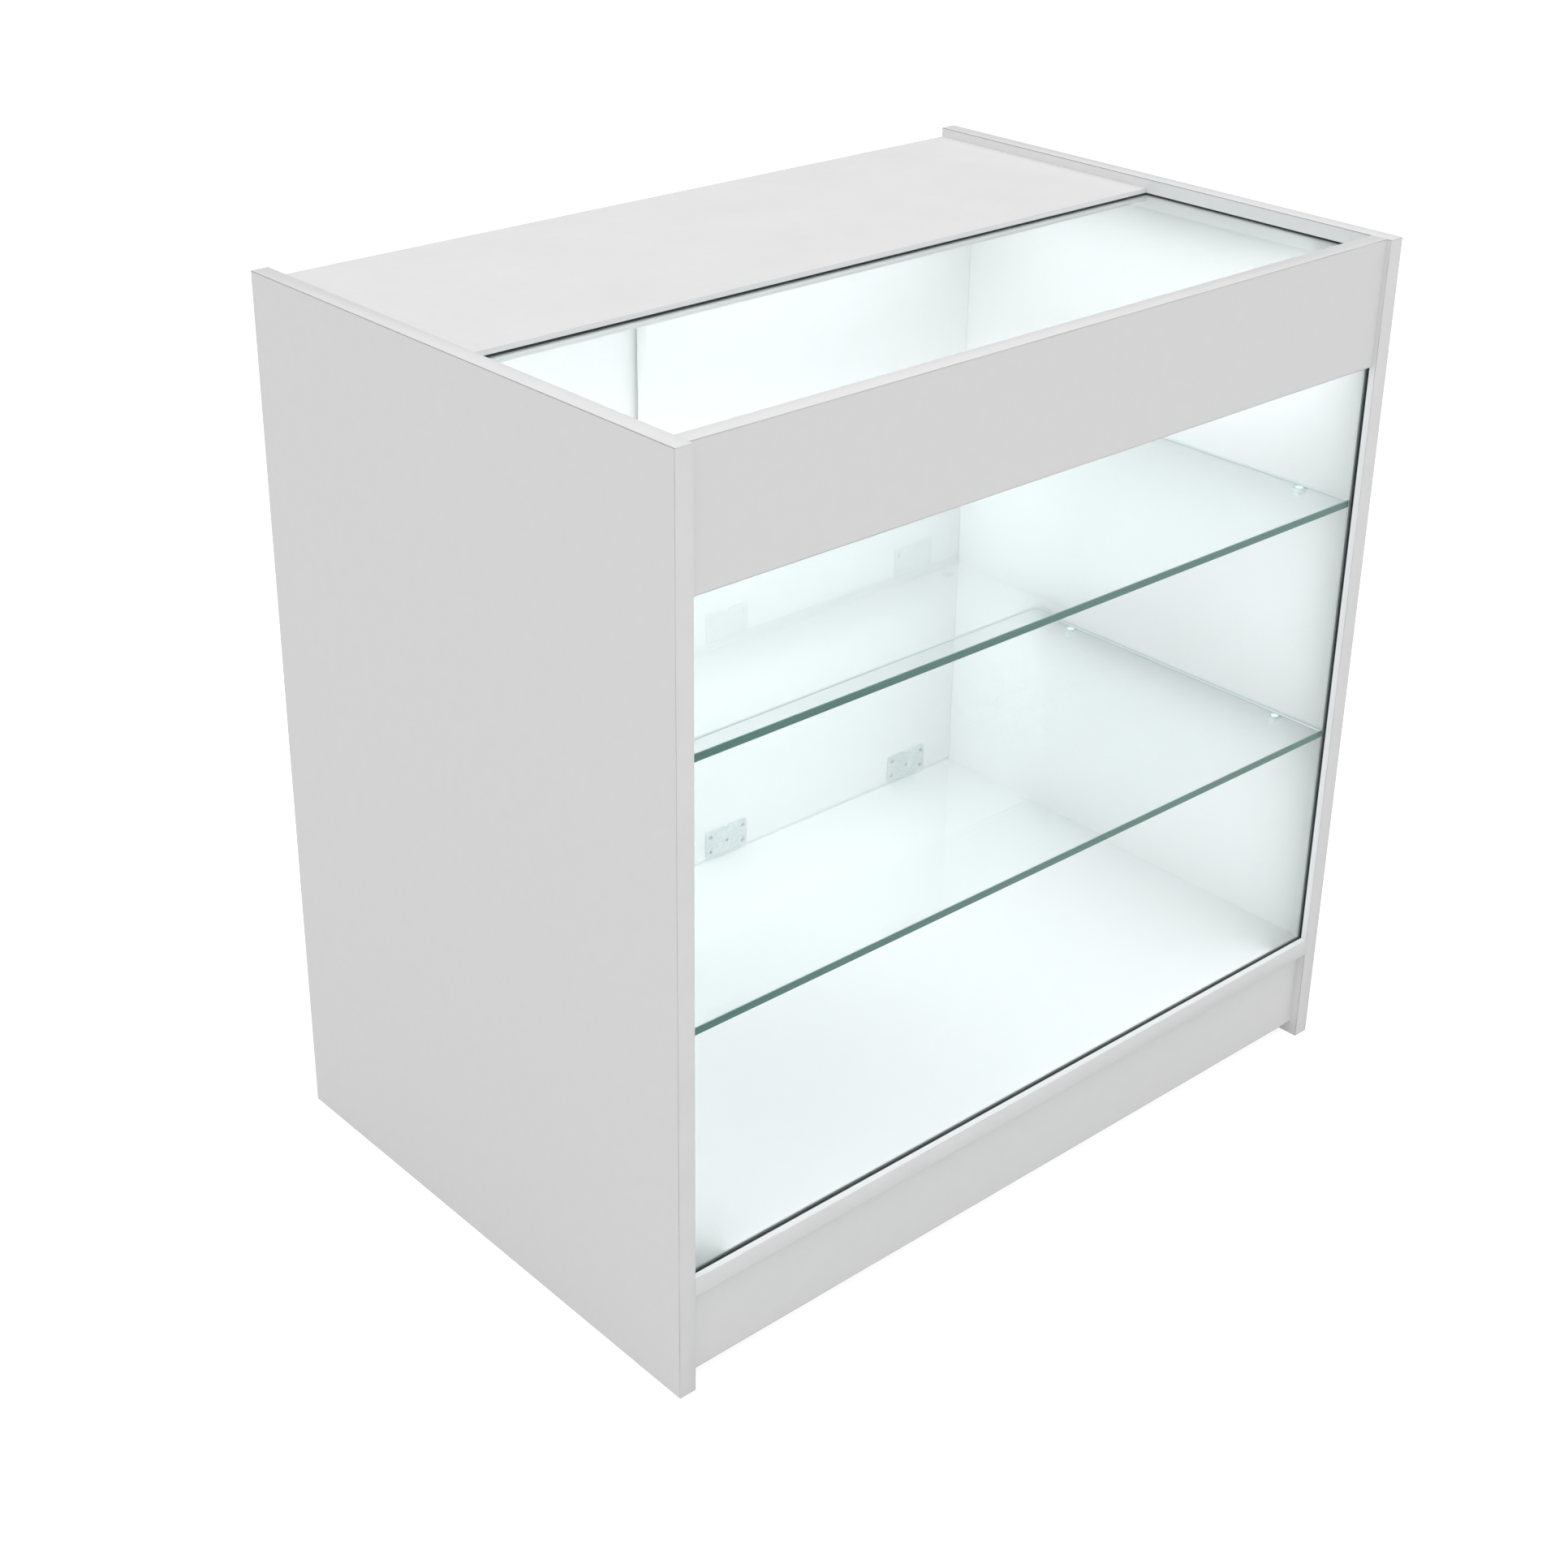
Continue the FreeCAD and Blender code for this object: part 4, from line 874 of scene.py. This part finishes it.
# %% Metals and wood
zinc_steel, zinc_shader = plain_finish(
    "zinc_steel", (0.56, 0.57, 0.58), (0.68, 0.69, 0.68), 0.22, 0.38, 1.6 * MM, 0.004 * MM)
zinc_shader.inputs["Metallic"].default_value = 1.0
cam_zinc, cam_shader = plain_finish(
    "cam_zinc", (0.48, 0.48, 0.47), (0.60, 0.60, 0.59), 0.36, 0.52, 0.9 * MM, 0.012 * MM)
cam_shader.inputs["Metallic"].default_value = 1.0
track_aluminium, track_shader = plain_finish(
    "track_aluminium", grey(0.76), grey(0.82), 0.30, 0.42, 0.35 * MM,
    0.004 * MM, stretch=(400, 1, 1))
track_shader.inputs["Coat Weight"].default_value = 0.3
pull_metal, pull_shader = plain_finish(
    "pull_metal", (0.60, 0.60, 0.59), (0.70, 0.70, 0.69), 0.24, 0.36, 0.30 * MM,
    0.004 * MM, stretch=(60, 60, 1))
pull_shader.inputs["Metallic"].default_value = 1.0
beech, _ = plain_finish(
    "beech", (0.42, 0.25, 0.13), (0.62, 0.42, 0.25), 0.55, 0.70, 0.6 * MM,
    0.020 * MM, stretch=(12, 1, 1))
print("metals and wood ready")

# %% The light bar's finishes
DIFFUSER_GLOW = 4.0
CHIP_HEIGHT = 0.7 * MM
CHIP_BLEND = 0.07 * MM
CHIP_YELLOW = (0.80, 0.62, 0.16)

diffuser_opal, opal_shader = plain_finish(
    "diffuser_opal", grey(0.84), grey(0.90), 0.35, 0.50, 8 * MM, 0.004 * MM)
opal_shader.inputs["Emission Color"].default_value = (*BAY_LIGHT_COLOUR, 1)
opal_shader.inputs["Emission Strength"].default_value = DIFFUSER_GLOW

light_strip, strip_shader = start_finish("light_strip", grey(0.8), 0.35)
chip_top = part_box("light_board")[0].z + CHIP_HEIGHT
past_chips = along(light_strip, "Z", chip_top - CHIP_BLEND, chip_top)
tint(light_strip, strip_shader, past_chips, CHIP_YELLOW, grey(0.82))
raise_relief(light_strip, strip_shader, cells(light_strip, 1.5 * MM), 0.01 * MM)
print("light bar finishes ready")

# %% [markdown]
# ## Small parts from their nodes
#
# The nodes of the tracks, clips, plates, pegs and screws have the right shape
# but knife edges, and a knife edge never catches a highlight. A bevel modifier
# on the loose triangles of a node would tear it. A merged copy with its flat
# faces made whole takes a small rounding well, so each such node is copied,
# rounded by its own radius and put in the node's place.

# %% Round the glazing channels
CHANNEL_ROUNDING = 0.20 * MM


def glazing_channel(node, pane_node, inner_way):
    """A pane's channel, whose lip on the inner side of the pane is smoky and clear."""
    shape = copy_of(node)
    round_edges(shape, CHANNEL_ROUNDING)
    low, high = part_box(pane_node)
    across = thin_axis(low, high)
    inner_face = high[across] if inner_way > 0 else low[across]
    for face in shape.faces:
        past = (face.calc_center_median()[across] - inner_face) * inner_way
        face.material_index = 1 if past > 0 else 0
    finishes = (black_rubber, smoky_rubber)
    make_piece(node + "_rounded", shape, "cabinet", finishes, (node,))
    print(node, "with its inner lip smoky")


glazing_channel("front_glass_rubber", "front_glass", 1)
glazing_channel("top_glass_rubber", "top_glass", -1)

# %% Round the cabinet's small parts
# each row holds a node, its slot, its finish and its rounding in millimetres
CABINET_PARTS = (
    ("upper_shelf_pegs", "peg_plastic", peg_plastic, 0.25),
    ("lower_shelf_pegs", "peg_plastic", peg_plastic, 0.25),
    ("upper_shelf_pads", "clear_pad", clear_pad, 0.25),
    ("lower_shelf_pads", "clear_pad", clear_pad, 0.25),
    ("bottom_door_track", "track_aluminium", track_aluminium, 0.20),
    ("top_door_track", "track_aluminium", track_aluminium, 0.20),
    ("track_screws", "zinc_steel", zinc_steel, 0.12),
    ("door_bumpers", "bumper_pad", bumper_pad, 0.40),
    ("light_channel", "track_aluminium", track_aluminium, 0.20),
    ("light_diffuser", "diffuser", diffuser_opal, 0.20),
    ("light_end_caps", "cap_plastic", cap_plastic, 0.40),
    ("light_clips", "zinc_steel", zinc_steel, 0.20),
    ("light_clip_screws", "zinc_steel", zinc_steel, 0.12),
    ("light_lead", "lead_sheath", lead_sheath, 0.0),
    ("lead_saddles", "saddle_plastic", saddle_plastic, 0.30),
    ("power_inlet", "inlet_plastic", inlet_plastic, 0.25),
    ("inlet_nut", "zinc_steel", zinc_steel, 0.25),
)


def rounded(node, body, finish, radius):
    """A merged copy of a node with all its sharp edges rounded."""
    shape = copy_of(node)
    if radius:
        round_edges(shape, radius)
    print(node, "faces:", len(shape.faces))
    make_piece(node + "_rounded", shape, body, (finish,), (node,))


for node, slot, finish, radius in CABINET_PARTS:
    rounded(node, "cabinet", finish, radius * MM)

# %% Round the doors' small parts
ROLLER_ROUNDING = 0.2 * MM
DOOR_PARTS = (
    ("roller_housings", "fitting_plastic", fitting_plastic, 0.30),
    ("top_guides", "fitting_plastic", fitting_plastic, 0.30),
    ("screws", "zinc_steel", zinc_steel, 0.12),
    ("roller_axles", "zinc_steel", zinc_steel, 0.25),
    ("edge_band", "white_edging", edging, 0.30),
)
for side in ("right", "left"):
    for part, slot, finish, radius in DOOR_PARTS:
        rounded(side + "_door_" + part, side + "_door", finish, radius * MM)
    for place in ("meeting", "closing"):
        node = side + "_door_" + place + "_roller"
        body = side + "_" + place + "_roller"
        rounded(node, body, roller_nylon, ROLLER_ROUNDING)

# %% [markdown]
# ## Finger pulls
#
# Each door is slid with two fingertips in a shallow cup, pressed from one sheet
# of metal. The press leaves no sharp corner: the flange falls away to a thin
# rim, its mouth is rolled, and the floor meets the wall in a wide round. The
# node has the right size but turned corners, so the cup is drawn again as half
# a section, spun about its axis, and its rings are rounded by two radii.

# %% Spin the finger pulls
PULL_RADIUS = 17.3 * MM
PULL_WALL = 1.0 * MM
PULL_RIM = 0.35 * MM
PULL_FALL = 1.3 * MM
PULL_FLOOR_ROUND = 3.0 * MM
PULL_FLOOR_STEPS = 5
PULL_ROUND = 0.30 * MM
PULL_ROUND_STEPS = 3
SPIN_STEPS = 72


def spun(outline, middle):
    """A closed body from points given as radius and place along Y, spun about Y."""
    shape = bmesh.new()
    points = [shape.verts.new(middle + Vector((radius, y, 0))) for radius, y in outline]
    lines = [shape.edges.new(pair) for pair in zip(points, points[1:])]
    bmesh.ops.spin(
        shape, geom=points + lines, cent=middle, axis=(0, 1, 0), angle=math.tau,
        steps=SPIN_STEPS, use_merge=True,
    )
    bmesh.ops.remove_doubles(shape, verts=shape.verts, dist=MERGE_WITHIN)
    bmesh.ops.recalc_face_normals(shape, faces=shape.faces)
    return shape


def finger_pull(side):
    """A pressed cup with a thin flange on the door's outer face."""
    node = side + "_door_finger_pull"
    low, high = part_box(node)
    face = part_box(side + "_door_panel")[1].y
    middle = Vector(((low.x + high.x) / 2, face, (low.z + high.z) / 2))
    flange_radius = (high.x - low.x) / 2
    depth = face - low.y
    flange = high.y - face
    mouth = PULL_RADIUS - PULL_WALL
    floor_out = PULL_WALL - depth
    shape = spun((
        (0, -depth),
        (PULL_RADIUS, -depth),
        (PULL_RADIUS, 0),
        (flange_radius, 0),
        (flange_radius, PULL_RIM),
        (flange_radius - PULL_FALL, flange),
        (mouth + PULL_WALL, flange),
        (mouth, flange - PULL_WALL),
        (mouth, floor_out),
        (0, floor_out),
    ), middle)
    corner = [
        edge for edge in shape.edges
        if all(
            abs(vertex.co.y - face - floor_out) < MERGE_WITHIN
            and abs((vertex.co - middle).xz.length - mouth) < MERGE_WITHIN
            for vertex in edge.verts
        )
    ]
    bmesh.ops.bevel(
        shape, geom=corner, offset=PULL_FLOOR_ROUND, segments=PULL_FLOOR_STEPS,
        profile=0.5, affect="EDGES", material=-1,
    )
    round_edges(shape, PULL_ROUND, PULL_ROUND_STEPS)
    print(node, "spun,", len(shape.faces), "faces")
    make_piece(node + "_pressed", shape, side + "_door", (pull_metal,), (node,))


finger_pull("right")
finger_pull("left")

# %% [markdown]
# ## Light in the inner door's gaps
#
# On the real counter some light of the bays slips past the inner door's closing
# edge and under its foot, and softens the dark lines there. Light that has to
# bounce into gaps of a few millimetres comes out grainy. Two thin lamps, one in
# each gap, do the same. They ride on the door, so they move when it slides.

# %% Let light into the inner door's gaps
CLOSING_GLOW_WATTS = 0.014
FOOT_GLOW_WATTS = 0.012
GAP_LAMP_ROOM = 0.1 * MM

door_low, door_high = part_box("right_door_edge_band")
door_middle = (door_low + door_high) / 2
door_size = door_high - door_low
past_edge = (door_high.x + GAP_LAMP_ROOM, door_middle.y, door_middle.z)
under_foot = (door_middle.x, door_middle.y, door_low.z - GAP_LAMP_ROOM)
closing_glow = bay_lamp(
    "closing_glow", past_edge, door_size.z, door_size.y, CLOSING_GLOW_WATTS, FACE_RIGHT)
foot_glow = bay_lamp(
    "foot_glow", under_foot, door_size.x, door_size.y, FOOT_GLOW_WATTS, FACE_DOWN)
for glow in (closing_glow, foot_glow):
    glow.parent = bpy.data.objects["right_door_edge_band_rounded"]

# %% [markdown]
# ## Pieces that stay nodes
#
# The cams, their bolts and the dowels sit inside the boards, and the light's
# circuit board sits behind its diffuser. Nobody sees their edges, so a remade
# piece would gain nothing. Each keeps its node and only gets its finish.

# %% Finish the pieces that stay nodes
HIDDEN_PARTS = {
    "cam_locks": cam_zinc,
    "cam_bolts": zinc_steel,
    "wood_dowels": beech,
    "light_board": light_strip,
}
for name, finish in HIDDEN_PARTS.items():
    paint_node(name, finish)
print("nodes that keep their shape:", list(HIDDEN_PARTS))
